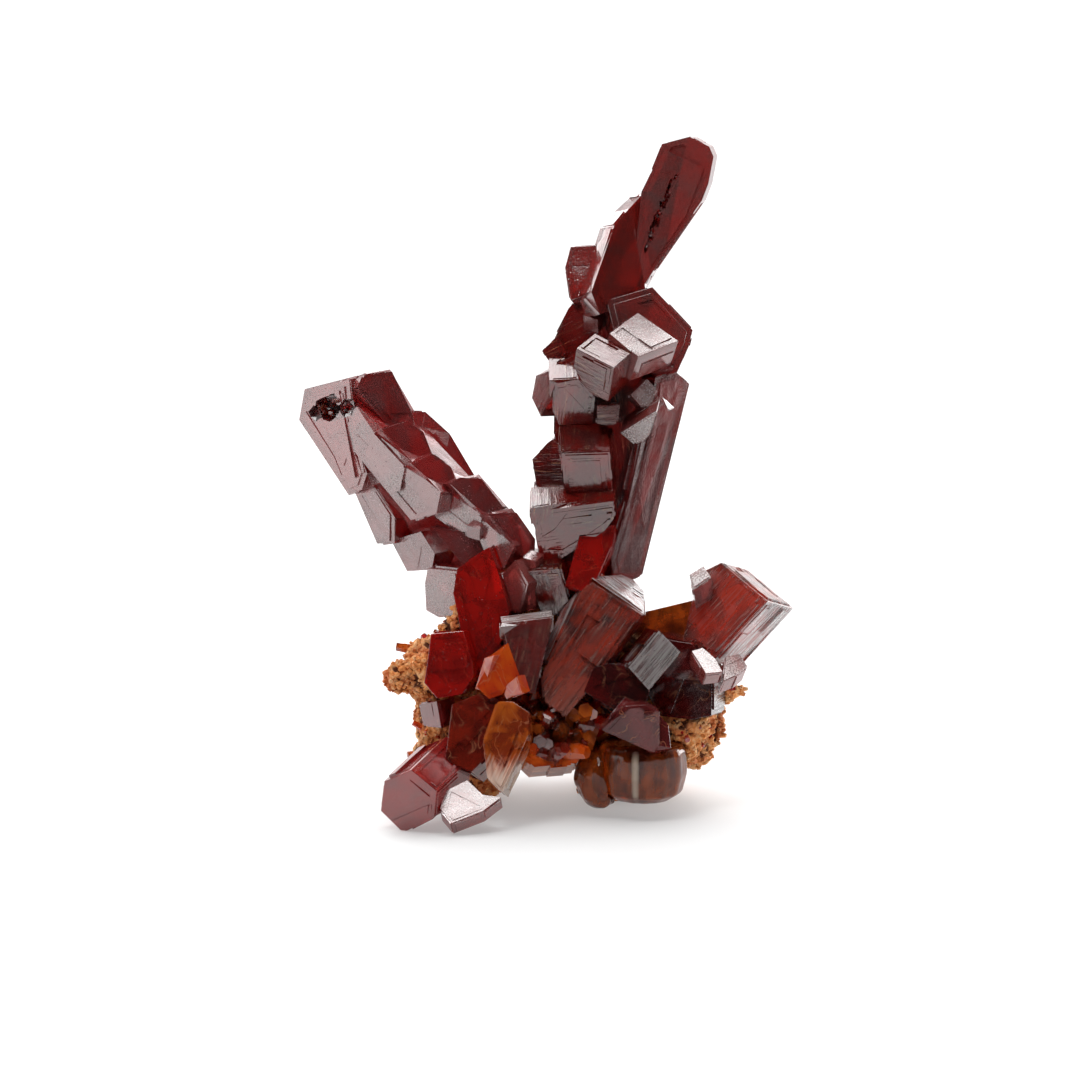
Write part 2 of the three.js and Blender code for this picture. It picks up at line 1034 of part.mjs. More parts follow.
        thick: 2.6,
      },
    ],
  },
  {
    name: "plume_side_crystal",
    finish: DEEP_RED,
    crystals: [
      {
        turn: -15,
        tip: 15,
        depth: -0.4,
        thick: 2.4,
        corners: [[1, 46.5], [3.1, 46.6], [3.5, 45.4], [2.4, 43], [1, 42.5], [0.6, 45]],
      },
    ],
  },
  { name: "plume", finish: DEEP_RED, crystals: plume },
  { name: "left_arm", finish: LILAC_RED, crystals: leftArm, hollows: [armTipHollow] },
  { name: "tower_stack", finish: MAUVE_GREY, crystals: towerStack },
];

// Ironstone: lumps about (x, h, d) with their three radii
const LUMPS = [
  { at: [-0.5, 11.5, -1.5], radii: [9.5, 6.5, 6.5], detail: 4 },
  { at: [0.5, 16.5, -1], radii: [5.5, 4.5, 4], detail: 3 },
  { at: [-6, 15, 0], radii: [3.6, 4, 4], detail: 3 },
  { at: [-9.9, 12.7, 0.5], radii: [2.5, 2.9, 3], detail: 3 },
  { at: [-12.6, 12.3, 1], radii: [1.3, 1.2, 1.6], detail: 2 },
  { at: [-8.6, 8.6, 0.5], radii: [3, 3.4, 4], detail: 3 },
  { at: [10.2, 9, 0.5], radii: [2.7, 4, 4.5], detail: 3 },
  { at: [13.3, 11.4, 1], radii: [1.1, 1, 1.4], detail: 2 },
  { at: [-8.4, 3, -5], radii: [3.5, 6, 5], detail: 3 },
  { at: [5.4, 3, -5.5], radii: [4.2, 6, 4.6], detail: 3 },
];

// The tunnel between the two feet runs from front to back
const TUNNEL = { middle: -1.5, width: 5.2, height: 3.4 };

// ---------------------------------------------------------------- assembly

const lean = new THREE.Matrix4()
  .makeTranslation(0, 0, -SAW_LEVEL)
  .multiply(new THREE.Matrix4().makeRotationX(THREE.MathUtils.degToRad(90 - LEAN_DEG)));

/** A solid of the upright cluster, leant back over the sawn base. */
function leant(solid) {
  return solid.transform(lean.elements);
}

const solids = [];
const fattened = [];
for (const piece of PIECES) {
  let solid = joined(piece.crystals.map((spec) => crystal(spec)));
  for (const hollow of piece.hollows ?? []) {
    solid = solid.subtract(lump(hollow));
  }
  if (fattened.length > 0) {
    solid = solid.subtract(joined(fattened));
  }
  solids.push(largestPiece(solid));
  fattened.push(joined(piece.crystals.map((spec) => crystal(spec, GAP))));
}

const underground = toSolid(new THREE.BoxGeometry(HUGE, HUGE, HUGE).translate(0, 0, -HUGE / 2));
const tunnel = toSolid(
  new THREE.BoxGeometry(TUNNEL.width, HUGE, 2 * TUNNEL.height).translate(TUNNEL.middle, 0, 0),
);
const rock = joined(LUMPS.map((spec) => lump(spec))).subtract(joined(fattened));
const matrix = leant(rock).subtract(underground).subtract(tunnel);

const group = new THREE.Group();

/** Adds one named piece to the group. */
function addPiece(name, finish, solid) {
  const mesh = new THREE.Mesh(toGeometry(solid), new THREE.MeshStandardMaterial(finish));
  mesh.name = name;
  group.add(mesh);
}

addPiece("matrix", IRONSTONE, largestPiece(matrix));
PIECES.forEach((piece, i) => {
  addPiece(piece.name, piece.finish, leant(solids[i]).subtract(underground));
});

// The origin is the middle of the whole specimen's box, on the surface that it stands on
const whole = new THREE.Box3().setFromObject(group);
const middle = whole.getCenter(new THREE.Vector3());
group.position.set(-middle.x, -middle.y, 0);

export default group;
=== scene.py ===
"""Vanadinite on matrix: red hexagonal crystals on porous ironstone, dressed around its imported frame.

Everything is in metres, +Z up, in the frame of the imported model. A place on the cluster is often given
as it is seen from the front, with x to the right and h up the leaning cluster, both in millimetres.
"""

import logging
import math
import random
from dataclasses import dataclass, field, replace
from enum import Enum

import bmesh
import bpy
import numpy as np
from mathutils import Matrix, Vector, noise
from mathutils.bvhtree import BVHTree
from mathutils.geometry import convex_hull_2d


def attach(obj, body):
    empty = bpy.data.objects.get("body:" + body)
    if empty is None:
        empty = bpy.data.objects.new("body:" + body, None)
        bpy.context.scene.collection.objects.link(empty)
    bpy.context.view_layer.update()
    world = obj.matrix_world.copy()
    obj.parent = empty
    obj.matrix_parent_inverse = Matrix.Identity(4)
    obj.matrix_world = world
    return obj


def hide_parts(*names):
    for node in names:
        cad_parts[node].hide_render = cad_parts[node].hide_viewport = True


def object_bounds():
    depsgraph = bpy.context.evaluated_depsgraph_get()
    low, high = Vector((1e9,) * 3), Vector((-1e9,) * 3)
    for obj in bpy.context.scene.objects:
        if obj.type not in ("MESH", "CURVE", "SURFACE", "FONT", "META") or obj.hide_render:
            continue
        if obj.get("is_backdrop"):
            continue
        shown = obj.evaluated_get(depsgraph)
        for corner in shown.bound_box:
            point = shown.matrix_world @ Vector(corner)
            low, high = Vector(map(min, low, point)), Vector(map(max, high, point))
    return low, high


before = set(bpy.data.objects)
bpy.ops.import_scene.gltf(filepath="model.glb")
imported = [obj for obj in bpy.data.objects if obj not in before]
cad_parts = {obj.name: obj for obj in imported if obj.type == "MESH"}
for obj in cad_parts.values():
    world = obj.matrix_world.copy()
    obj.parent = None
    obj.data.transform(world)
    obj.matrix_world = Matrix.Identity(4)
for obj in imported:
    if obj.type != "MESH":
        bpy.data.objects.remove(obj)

MM = 0.001
MM2 = 1e-6
FLOOR_GAP = 0.02 * MM  # how far the crystals stay above the floor
OUTSIDE = 60.0  # millimetres from the middle of the cluster to a place well outside it
LOG = logging.getLogger("vanadinite")


# ---------------------------------------------------------------- shader building


class Socket:
    """One shader socket, with the sums that shader maths needs."""

    def __init__(self, tree: "ShaderTree", socket: bpy.types.NodeSocket) -> None:
        """Wraps a socket of a tree."""
        self.tree = tree
        self.socket = socket

    def maths(self, operation: str, *others: "Socket | float") -> "Socket":
        """A Math node on this socket and others.

        Args:
            operation: the Math node's operation.
            others: the node's further inputs.

        Returns:
            The node's output.
        """
        values = {i: value for i, value in enumerate((self, *others))}
        return self.tree.node("ShaderNodeMath", {"operation": operation}, values)

    def __add__(self, other: "Socket | float") -> "Socket":
        """This plus other."""
        return self.maths("ADD", other)

    def __mul__(self, other: "Socket | float") -> "Socket":
        """This times other."""
        return self.maths("MULTIPLY", other)

    def __sub__(self, other: "Socket | float") -> "Socket":
        """This less other."""
        return self.maths("SUBTRACT", other)

    def __rsub__(self, other: float) -> "Socket":
        """A number less this."""
        return self.tree.node("ShaderNodeMath", {"operation": "SUBTRACT"}, {0: other, 1: self})

    def ramp(self, low: float, high: float, to_low: float = 0.0, to_high: float = 1.0) -> "Socket":
        """This carried smoothly from the range low to high onto another range.

        Args:
            low: the value that gives to_low.
            high: the value that gives to_high.
            to_low: the lowest result.
            to_high: the highest result.

        Returns:
            The mapped value.
        """
        return self.tree.node(
            "ShaderNodeMapRange",
            {"interpolation_type": "SMOOTHSTEP"},
            {0: self, 1: low, 2: high, 3: to_low, 4: to_high},
        )


class ShaderTree:
    """The node tree of a material or of the world, built up by a few short calls."""

    def __init__(self, owner: bpy.types.Material | bpy.types.World) -> None:
        """Takes over the owner's node tree, and empties it."""
        self.owner = owner
        self.owner.use_nodes = True
        self.tree = self.owner.node_tree
        self.tree.nodes.clear()

    def node(self, kind: str, settings: dict, inputs: dict, output: int | str = 0) -> Socket:
        """Adds a node.

        Args:
            kind: the node's type.
            settings: its properties, set before its sockets.
            inputs: values or sockets for its inputs, by name or index.
            output: the output that is wanted.

        Returns:
            That output.
        """
        node = self.tree.nodes.new(kind)
        for key, value in settings.items():
            setattr(node, key, value)
        for key, value in inputs.items():
            if isinstance(value, Socket):
                self.tree.links.new(value.socket, node.inputs[key])
            else:
                node.inputs[key].default_value = value
        return Socket(self, node.outputs[output])

    def blend(self, share: Socket | float, first: Socket | tuple, second: Socket | tuple) -> Socket:
        """A colour between two colours.

        Args:
            share: 0 for the first colour and 1 for the second.
            first: a colour or a socket.
            second: a colour or a socket.

        Returns:
            The mixed colour.
        """
        return self.node(
            "ShaderNodeMix", {"data_type": "RGBA"}, {0: share, 6: opaque(first), 7: opaque(second)}, 2
        )

    def place(self, stretch: tuple[float, float, float] = (1.0, 1.0, 1.0)) -> Socket:
        """Object coordinates in millimetres, stretched along each axis."""
        coords = self.node("ShaderNodeTexCoord", {}, {}, "Object")
        scale = tuple(s / MM for s in stretch)
        return self.node("ShaderNodeMapping", {}, {"Vector": coords, "Scale": scale})

    def grain(self, stretch: tuple[float, float]) -> Socket:
        """The piece's own map, which runs along and across each face in millimetres, stretched."""
        coords = self.node("ShaderNodeUVMap", {"uv_map": "grain"}, {})
        return self.node("ShaderNodeMapping", {}, {"Vector": coords, "Scale": (*stretch, 1.0)})

    def noise(self, where: Socket, scale: float, detail: float = 3.0, distortion: float = 0.0) -> Socket:
        """Cloudy noise.

        Args:
            where: the place to read it at.
            scale: features for each millimetre.
            detail: how many finer layers it has.
            distortion: how far it is dragged about.

        Returns:
            Its value, around a half.
        """
        inputs = {"Vector": where, "Scale": scale, "Detail": detail, "Distortion": distortion}
        return self.node("ShaderNodeTexNoise", {}, inputs)

    def cells(self, where: Socket, scale: float, feature: str = "F1") -> Socket:
        """Distance to the nearest point of a random pattern, or to the nearest border."""
        return self.node("ShaderNodeTexVoronoi", {"feature": feature}, {"Vector": where, "Scale": scale})

    def bump(
        self, height: Socket, strength: float, distance: float, below: Socket | None = None
    ) -> Socket:
        """A Bump node.

        Args:
            height: the relief, from 0 to 1.
            strength: how much of it is taken.
            distance: the height of the relief in metres.
            below: a bumped normal that this one adds to.

        Returns:
            The bumped normal.
        """
        inputs = {"Height": height, "Strength": strength, "Distance": distance}
        if below is not None:
            inputs["Normal"] = below
        return self.node("ShaderNodeBump", {}, inputs)

    def finish(
        self, surface: Socket, volume: Socket | None = None, output: str = "ShaderNodeOutputMaterial"
    ) -> bpy.types.Material | bpy.types.World:
        """Joins the shaders to the output.

        Args:
            surface: the surface shader.
            volume: the volume shader, if any.
            output: the type of the output node.

        Returns:
            The finished material or world.
        """
        inputs = {"Surface": surface}
        if volume is not None:
            inputs["Volume"] = volume
        node = self.tree.nodes.new(output)
        for key, value in inputs.items():
            self.tree.links.new(value.socket, node.inputs[key])
        return self.owner


def opaque(colour: "Socket | tuple") -> "Socket | tuple":
    """A colour with its alpha, or a socket as it is."""
    return colour if isinstance(colour, Socket) else (*colour, 1.0)


# ---------------------------------------------------------------- finishes


class Texture(Enum):
    """What the faces of a crystal look like close to."""

    FROSTED = "frosted"
    STRIATED = "striated"
    GLASSY = "glassy"
    STREAKED = "streaked"


STRIPES = {  # how far the colour follows the striations, from 0 to 1
    Texture.FROSTED: 0.35,
    Texture.STRIATED: 0.35,
    Texture.GLASSY: 0.12,
    Texture.STREAKED: 0.12,
}
CRACK_SHARE = 0.3
# How strongly the painted glints on the striations show.
GLINT_SHARE = 0.42
HOLLOW_SHADE = 0.35
WAVER = 3.0  # millimetres by which the edge of a glow wanders


class Maps:
    """The patterns that a crystal's colour, roughness and relief are made from."""

    def __init__(self, t: ShaderTree, texture: Texture) -> None:
        """Adds the patterns to a material.

        Args:
            t: the material's tree.
            texture: what the crystal's faces look like.
        """
        grain = t.grain((1.0, 1.0))
        self.place = t.place()
        self.lines = t.noise(t.grain((0.35, 5.0)), 1.0, 5.0)
        self.patches = t.noise(self.place, 0.42, 4.0, 0.6)
        if texture is Texture.STREAKED:
            streaks = t.noise(t.place((1.3, 1.3, 0.3)), 1.0, 4.0)
            self.patches = streaks * 0.5 + self.patches * 0.55
        self.speckle = t.noise(grain, 6.5, 3.0)
        self.pits = t.cells(grain, 2.6).ramp(0.02, 0.17)
        # Painted light from the mesh: shares of painted highlight, and -1 for painted shade in cavities.
        self.painted_light = t.node("ShaderNodeAttribute", {"attribute_name": "painted_light"}, {}, "Fac")
        self.height = t.node("ShaderNodeSeparateXYZ", {}, {"Vector": self.place}, "Z")


@dataclass(frozen=True)
class PaintedGlow:
    """Painted light: a lighter zone at one end of a crystal, which fades out between two heights in
    millimetres.
    """

    colour: tuple[float, float, float]
    full: float
    gone: float
    share: float = 0.5


@dataclass(frozen=True)
class CrystalFinish:
    """Clear, strongly coloured crystal with an adamantine lustre.

    Its faces are clear or cloudy in patches, absorb and density dim the light inside it, the whitish
    tint is the colour of painted highlights on some faces, and flaw the colour of cracks and of painted
    glints.
    """

    name: str
    slot: str
    clear: tuple[float, float, float]
    cloudy: tuple[float, float, float]
    absorb: tuple[float, float, float]
    density: float = 420.0
    transmission: float = 0.5
    ior: float = 2.35
    roughness: tuple[float, float] = (0.05, 0.2)
    texture: Texture = Texture.FROSTED
    relief: float = 1.0
    highlight_tint: tuple[float, float, float] = (0.86, 0.78, 0.76)
    crack_and_glint: tuple[float, float, float] = (0.95, 0.42, 0.22)
    glow: PaintedGlow | None = None

    def painted_sheen(self, maps: Maps) -> Socket:
        """How strongly the painted highlight shows, broken up as the crystal's texture is."""
        if self.texture in (Texture.STRIATED, Texture.GLASSY):
            mask = maps.lines.ramp(0.38, 0.6) * 0.75 + 0.25
        else:
            mask = (maps.speckle * 0.6 + maps.patches * 0.5).ramp(0.42, 0.66) * 0.5 + 0.5
        return maps.painted_light.maths("MAXIMUM", 0.0) * mask

    def colour(self, t: ShaderTree, maps: Maps, painted_sheen: Socket) -> Socket:
        """The faces' colour, with cracks, and painted glints, glow, highlights and shade in pits and
        cavities.

        Args:
            t: the material's tree.
            maps: its patterns.
            painted_sheen: how strongly the painted highlight shows.

        Returns:
            The colour.
        """
        stripes = STRIPES[self.texture]
        zones = (maps.patches * (1.1 - stripes) + maps.lines * stripes).ramp(0.42, 0.72)
        colour = t.blend(zones, self.clear, self.cloudy)
        if self.texture is Texture.GLASSY:
            crack = (t.noise(maps.place, 0.33, 2.0, 1.4) - 0.5).maths("ABSOLUTE").ramp(0.0, 0.02)
            colour = t.blend((1 - crack) * maps.patches.ramp(0.4, 0.6) * CRACK_SHARE, colour, self.crack_and_glint)
        # Painted glints: pale lines along the striations, in the flaw colour.
        if self.texture is Texture.STRIATED:
            painted_glint = maps.lines.ramp(0.54, 0.66) * maps.patches.ramp(0.4, 0.6)
            colour = t.blend(painted_glint * GLINT_SHARE, colour, self.crack_and_glint)
        # Painted glow: the colour lightens towards one end of the crystal.
        if self.glow is not None:
            height = maps.height + (maps.lines + maps.patches - 1) * WAVER
            zone = height.ramp(self.glow.full, self.glow.gone, self.glow.share, 0.0)
            colour = t.blend(zone, colour, self.glow.colour)
        # Painted highlight: the faces marked for it turn towards the whitish tint.
        colour = t.blend(painted_sheen, colour, self.highlight_tint)
        # Painted shade: the pits, and the faces that line a cavity, turn dark.
        dark = tuple(c * HOLLOW_SHADE for c in self.cloudy)
        colour = t.blend(1 - maps.pits, colour, dark)
        return t.blend((maps.painted_light * -1.0).maths("MAXIMUM", 0.0), colour, dark)

    def normal(self, t: ShaderTree, maps: Maps) -> Socket:
        """Growth terraces, then the texture's own fine relief, then pits."""
        terraces = t.cells(t.grain((0.55, 1.3)), 1.1, "SMOOTH_F1")
        normal = t.bump(terraces, 0.2 * self.relief, 0.09 * MM)
        fine = {
            Texture.STREAKED: (maps.patches, 0.4, 0.06 * MM),
            Texture.STRIATED: (maps.lines, 0.8, 0.04 * MM),
            Texture.FROSTED: (maps.speckle, 0.35, 0.016 * MM),
        }
        if self.texture in fine:
            height, strength, distance = fine[self.texture]
            normal = t.bump(height, strength * self.relief, distance, normal)
        return t.bump(maps.pits, 0.3 * self.relief, 0.03 * MM, normal)

    def material(self) -> bpy.types.Material:
        """The crystal's material."""
        t = ShaderTree(bpy.data.materials.new(self.name))
        maps = Maps(t, self.texture)
        painted_sheen = self.painted_sheen(maps)
        matt = (maps.patches * 0.5 + maps.speckle * 0.6).ramp(0.4, 0.75, *self.roughness)
        surface = t.node(
            "ShaderNodeBsdfPrincipled",
            {},
            {
                "Base Color": self.colour(t, maps, painted_sheen),
                "Roughness": matt + painted_sheen * 0.15,
                "Normal": self.normal(t, maps),
                "IOR": self.ior,
                "Transmission Weight": self.transmission,
            },
        )
        volume = t.node(
            "ShaderNodeVolumeAbsorption", {}, {"Color": (*self.absorb, 1.0), "Density": self.density}
        )
        return t.finish(surface, volume)


@dataclass(frozen=True)
class RockFinish:
    """Porous ironstone, ochre on its skin, with painted shade darkening its hollows to dark brown."""

    name: str = "ironstone"
    slot: str = "ironstone"
    ochre: tuple[float, float, float] = (0.74, 0.29, 0.08)
    tan: tuple[float, float, float] = (0.84, 0.50, 0.24)
    rust: tuple[float, float, float] = (0.56, 0.15, 0.04)
    # The colour of the painted shade in the hollows.
    dark: tuple[float, float, float] = (0.13, 0.035, 0.01)

    def material(self) -> bpy.types.Material:
        """The rock's material. It reads how deep each place lies from the mesh, and paints shade there.
        """
        t = ShaderTree(bpy.data.materials.new(self.name))
        place = t.place()
        broad = t.noise(place, 1.6, 4.0, 0.5).ramp(0.42, 0.66)
        rusty = t.noise(place, 0.5, 5.0, 0.8).ramp(0.46, 0.66)
        fine = t.noise(place, 4.5, 5.0)
        depth_shade = t.node("ShaderNodeAttribute", {"attribute_name": "hollow"}, {}, "Fac")
        colour = t.blend(broad, self.ochre, self.tan)
        colour = t.blend(rusty, colour, self.rust)
        # Painted shade: the deeper a place lies, the darker it is.
        colour = t.blend((depth_shade * 1.0 + fine * 0.3).ramp(0.35, 0.85), colour, self.dark)
        normal = t.bump(fine, 0.6, 0.00012)
        surface = t.node(
            "ShaderNodeBsdfPrincipled",
            {},
            {"Base Color": colour, "Roughness": fine.ramp(0.3, 0.7, 0.65, 0.95), "Normal": normal},
        )
        return t.finish(surface)


DEEP_RED = CrystalFinish(
    "deep_red",
    "deep_red",
    clear=(0.34, 0.018, 0.013),
    cloudy=(0.17, 0.018, 0.014),
    absorb=(0.9, 0.15, 0.1),
)
SLAB_RED = CrystalFinish(
    "frosted_red",
    "deep_red",
    clear=(0.32, 0.018, 0.014),
    cloudy=(0.22, 0.04, 0.04),
    absorb=(0.9, 0.15, 0.1),
    roughness=(0.06, 0.2),
    relief=1.1,
)
STRIATED_RED = CrystalFinish(
    "striated_red",
    "deep_red",
    clear=(0.50, 0.045, 0.016),
    cloudy=(0.06, 0.006, 0.004),
    absorb=(0.9, 0.2, 0.1),
    texture=Texture.STRIATED,
    ior=1.9,
    highlight_tint=(1.0, 0.99, 1.0),
    crack_and_glint=(0.80, 0.42, 0.32),
)
LILAC_RED = CrystalFinish(
    "lilac_red",
    "lilac_red",
    clear=(0.40, 0.03, 0.028),
    cloudy=(0.26, 0.06, 0.06),
    absorb=(0.88, 0.15, 0.12),
    roughness=(0.1, 0.28),
    relief=1.2,
)
MAUVE_GREY = CrystalFinish(
    "mauve_grey",
    "mauve_grey",
    clear=(0.24, 0.014, 0.01),
    cloudy=(0.10, 0.015, 0.014),
    absorb=(0.85, 0.15, 0.1),
    roughness=(0.06, 0.2),
    texture=Texture.STRIATED,
    ior=2.0,
)
BLOOD_RED = CrystalFinish(
    "blood_red",
    "blood_red",
    clear=(0.62, 0.01, 0.006),
    cloudy=(0.34, 0.006, 0.004),
    absorb=(0.94, 0.12, 0.08),
    density=300.0,
    roughness=(0.05, 0.14),
    texture=Texture.GLASSY,
    ior=1.95,
    crack_and_glint=(0.85, 0.10, 0.05),
)
BLACK_RED = CrystalFinish(
    "black_red",
    "black_red",
    clear=(0.13, 0.006, 0.006),
    cloudy=(0.06, 0.004, 0.004),
    absorb=(0.7, 0.1, 0.1),
    density=700.0,
    roughness=(0.06, 0.2),
    texture=Texture.GLASSY,
    ior=1.85,
    highlight_tint=(0.80, 0.78, 0.76),
)
ORANGE = CrystalFinish(
    "orange",
    "orange",
    clear=(1.0, 0.15, 0.01),
    cloudy=(0.8, 0.06, 0.008),
    absorb=(0.96, 0.35, 0.08),
    density=140.0,
    roughness=(0.05, 0.2),
    texture=Texture.GLASSY,
    ior=1.95,
)
HONEY = CrystalFinish(
    "honey",
    "honey",
    clear=(0.80, 0.17, 0.02),
    cloudy=(0.30, 0.035, 0.008),
    absorb=(0.93, 0.4, 0.15),
    density=260.0,
    roughness=(0.05, 0.18),
    texture=Texture.GLASSY,
    ior=1.7,
)
BROWN = CrystalFinish(
    "brown_red",
    "black_red",
    clear=(0.34, 0.022, 0.008),
    cloudy=(0.13, 0.008, 0.004),
    absorb=(0.9, 0.2, 0.1),
    density=360.0,
    roughness=(0.05, 0.16),
    texture=Texture.GLASSY,
    ior=1.75,
)
AMBER = CrystalFinish(
    "amber_streaked",
    "honey",
    clear=(0.42, 0.08, 0.01),
    cloudy=(0.065, 0.010, 0.003),
    absorb=(0.95, 0.45, 0.15),
    density=260.0,
    roughness=(0.05, 0.14),
    texture=Texture.STREAKED,
    ior=1.45,
    highlight_tint=(0.95, 0.80, 0.62),
)
SMOKY_RED = CrystalFinish(
    "smoky_red",
    "black_red",
    clear=(0.24, 0.03, 0.03),
    cloudy=(0.13, 0.016, 0.016),
    absorb=(0.8, 0.12, 0.1),
    texture=Texture.GLASSY,
    ior=1.5,
)
CORNER_RED = CrystalFinish(
    "corner_red",
    "lilac_red",
    clear=(0.48, 0.03, 0.026),
    cloudy=(0.30, 0.035, 0.035),
    absorb=(0.88, 0.15, 0.12),
    roughness=(0.08, 0.24),
    ior=1.95,
)
# Painted light: a paler copy of the red, for the small crystals that are lit white.
PALE = CrystalFinish(
    "pale_lit",
    "pale_lit",
    clear=(0.42, 0.08, 0.07),
    cloudy=(0.30, 0.08, 0.08),
    absorb=(0.88, 0.3, 0.25),
    density=300.0,
    roughness=(0.08, 0.24),
)
# Painted glow: the lower part of the centre prism lightens to a rosy red.
CENTRE_RED = replace(STRIATED_RED, name="centre_red", glow=PaintedGlow((0.66, 0.20, 0.14), 7.0, 13.0, 0.7))
# Painted highlight: the lower end of the honey blade lightens to near white.
HONEY_LIT_TIP = replace(HONEY, name="honey_lit_tip", glow=PaintedGlow((0.95, 0.84, 0.72), 4.0, 6.6, 0.9))
IRONSTONE = RockFinish()


# ---------------------------------------------------------------- places and meshes


SAME_PLACE = 0.002 * MM
FLAT_WITHIN = math.radians(1.5)
SOFTENING = 0.6


class Front:
    """Turns places seen from the front of the leaning cluster into places in the frame."""

    LEAN = math.radians(12.0)
    FOOT = Vector((1.160, -2.535, -1.98)) * MM

    def __init__(self, low: Vector, high: Vector) -> None:
        """Takes the whole specimen's box."""
        middle = Vector(((low.x + high.x) / 2, (low.y + high.y) / 2, low.z))
        self.zero = middle + self.FOOT
        self.right = Vector((1.0, 0.0, 0.0))
        self.up = Vector((0.0, math.sin(self.LEAN), math.cos(self.LEAN)))
        self.out = Vector((0.0, -math.cos(self.LEAN), math.sin(self.LEAN)))

    def point(self, x: float, h: float, d: float = 0.0) -> Vector:
        """The place at x to the right, h up and d towards the front, in millimetres."""
        return self.zero + (self.right * x + self.up * h + self.out * d) * MM

    def hit(self, surface: BVHTree, x: float, h: float) -> tuple[Vector, Vector]:
        """Where a line from the front meets a surface.

        Args:
            surface: the surface's tree.
            x: millimetres to the right.
            h: millimetres up the cluster.

        Returns:
            The place and its outward normal.
        """
        place, normal, _, _ = surface.ray_cast(self.point(x, h, OUTSIDE), -self.out)
        return (place, normal) if place is not None else (self.point(x, h), self.out.copy())


def clean_copy(node: str) -> bmesh.types.BMesh:
    """A CAD node's mesh with its doubles merged and its flat faces made whole."""
    bm = bmesh.new()
    bm.from_mesh(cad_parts[node].data)
    bmesh.ops.remove_doubles(bm, verts=bm.verts, dist=SAME_PLACE)
    bmesh.ops.dissolve_limit(
        bm,
        angle_limit=FLAT_WITHIN,
        use_dissolve_boundaries=False,
        verts=bm.verts,
        edges=bm.edges,
        delimit=set(),
    )
    return bm


def object_of(name: str, mesh: bpy.types.Mesh) -> bpy.types.Object:
    """A new object, at the origin, that holds a mesh."""
    made = bpy.data.objects.new(name, mesh)
    bpy.context.scene.collection.objects.link(made)
    return made


def settled(obj: bpy.types.Object) -> bpy.types.Mesh:
    """The mesh that an object's modifiers make of it. The modifiers are taken off."""
    graph = bpy.context.evaluated_depsgraph_get()
    mesh = bpy.data.meshes.new_from_object(obj.evaluated_get(graph))
    obj.modifiers.clear()
    return mesh


def rows(items: bpy.types.bpy_prop_collection, name: str, width: int = 3) -> np.ndarray:
    """One property of all the items of a collection, in a row of that width for each."""
    values = np.zeros(len(items) * width)
    items.foreach_get(name, values)
    return values.reshape(-1, width)


def mark(mesh: bpy.types.Mesh, name: str, domain: str, values: np.ndarray | list[float]) -> None:
    """Writes one number for each item of a mesh, which its material or its growth reads."""
    attribute = mesh.attributes.new(name, "FLOAT", domain)
    attribute.data.foreach_set("value", np.asarray(values, np.float32))


def mesh_from(name: str, bm: bmesh.types.BMesh) -> bpy.types.Mesh:
    """A mesh from a bmesh, which is freed."""
    mesh = bpy.data.meshes.new(name)
    bm.to_mesh(mesh)
    bm.free()
    return mesh


def skinned(node: str, name: str, voxel: float, softening: int = 0) -> bpy.types.Object:
    """A CAD node's shape remade as a fine, even skin, smooth shaded.

    Args:
        node: the node.
        name: the new object's name.
        voxel: the size of the skin's faces.
        softening: how many times it is smoothed.

    Returns:
        The new object, at the origin.
    """
    bm = clean_copy(node)
    bmesh.ops.triangulate(bm, faces=bm.faces)
    piece = object_of(name, mesh_from(node, bm))
    grid = piece.modifiers.new("grid", "REMESH")
    grid.mode = "VOXEL"
    grid.voxel_size = voxel
    if softening > 0:
        soft = piece.modifiers.new("soft", "SMOOTH")
        soft.factor = SOFTENING
        soft.iterations = softening
    piece.data = settled(piece)
    for polygon in piece.data.polygons:
        polygon.use_smooth = True
    return piece


def dress(piece: bpy.types.Object, material: bpy.types.Material, slot: str, *nodes: str) -> None:
    """Gives a finished piece its material and its body, and hides the CAD nodes it stands for."""
    piece.data.materials.clear()
    piece.data.materials.append(material)
    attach(piece, "root")
    if nodes:
        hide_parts(*nodes)


# ---------------------------------------------------------------- faces of a crystal


@dataclass
class Facet:
    """A flat face with its own axes: along its longest edge, across it, and outwards."""

    centre: Vector
    along: Vector
    across: Vector
    out: Vector
    outline: list[Vector]
    area: float

    @classmethod
    def of(cls, face: bmesh.types.BMFace) -> "Facet":
        """The facet of a mesh face."""
        out = face.normal.copy()
        edge = max(face.edges, key=lambda e: e.calc_length())
        along = (edge.verts[1].co - edge.verts[0].co).normalized()
        along = (along - out * along.dot(out)).normalized()
        if along.z < 0:
            along = -along
        across = out.cross(along)
        centre = face.calc_center_median()
        offsets = [v.co - centre for v in face.verts]
        outline = [Vector((o.dot(along), o.dot(across))) for o in offsets]
        return cls(centre, along, across, out, outline, face.calc_area())

    def lift(self, point: Vector, height: float) -> Vector:
        """The place in space of a point of the facet's plane, at a height above it."""
        return self.centre + self.along * point.x + self.across * point.y + self.out * height


def clipped(outline: list[Vector], normal: Vector, limit: float) -> list[Vector]:
    """The part of an outline where a point's share along normal is at most limit."""
    kept: list[Vector] = []
    for i, here in enumerate(outline):
        there = outline[(i + 1) % len(outline)]
        a = here.dot(normal) - limit
        b = there.dot(normal) - limit
        if a <= 0:
            kept.append(here)
        if a * b < 0:
            kept.append(here + (there - here) * (a / (a - b)))
    return kept


def area_of(outline: list[Vector]) -> float:
    """The area inside a flat outline, positive when it runs anticlockwise."""
    total = 0.0
    for i, here in enumerate(outline):
        there = outline[(i + 1) % len(outline)]
        total += here.x * there.y - there.x * here.y
    return total / 2


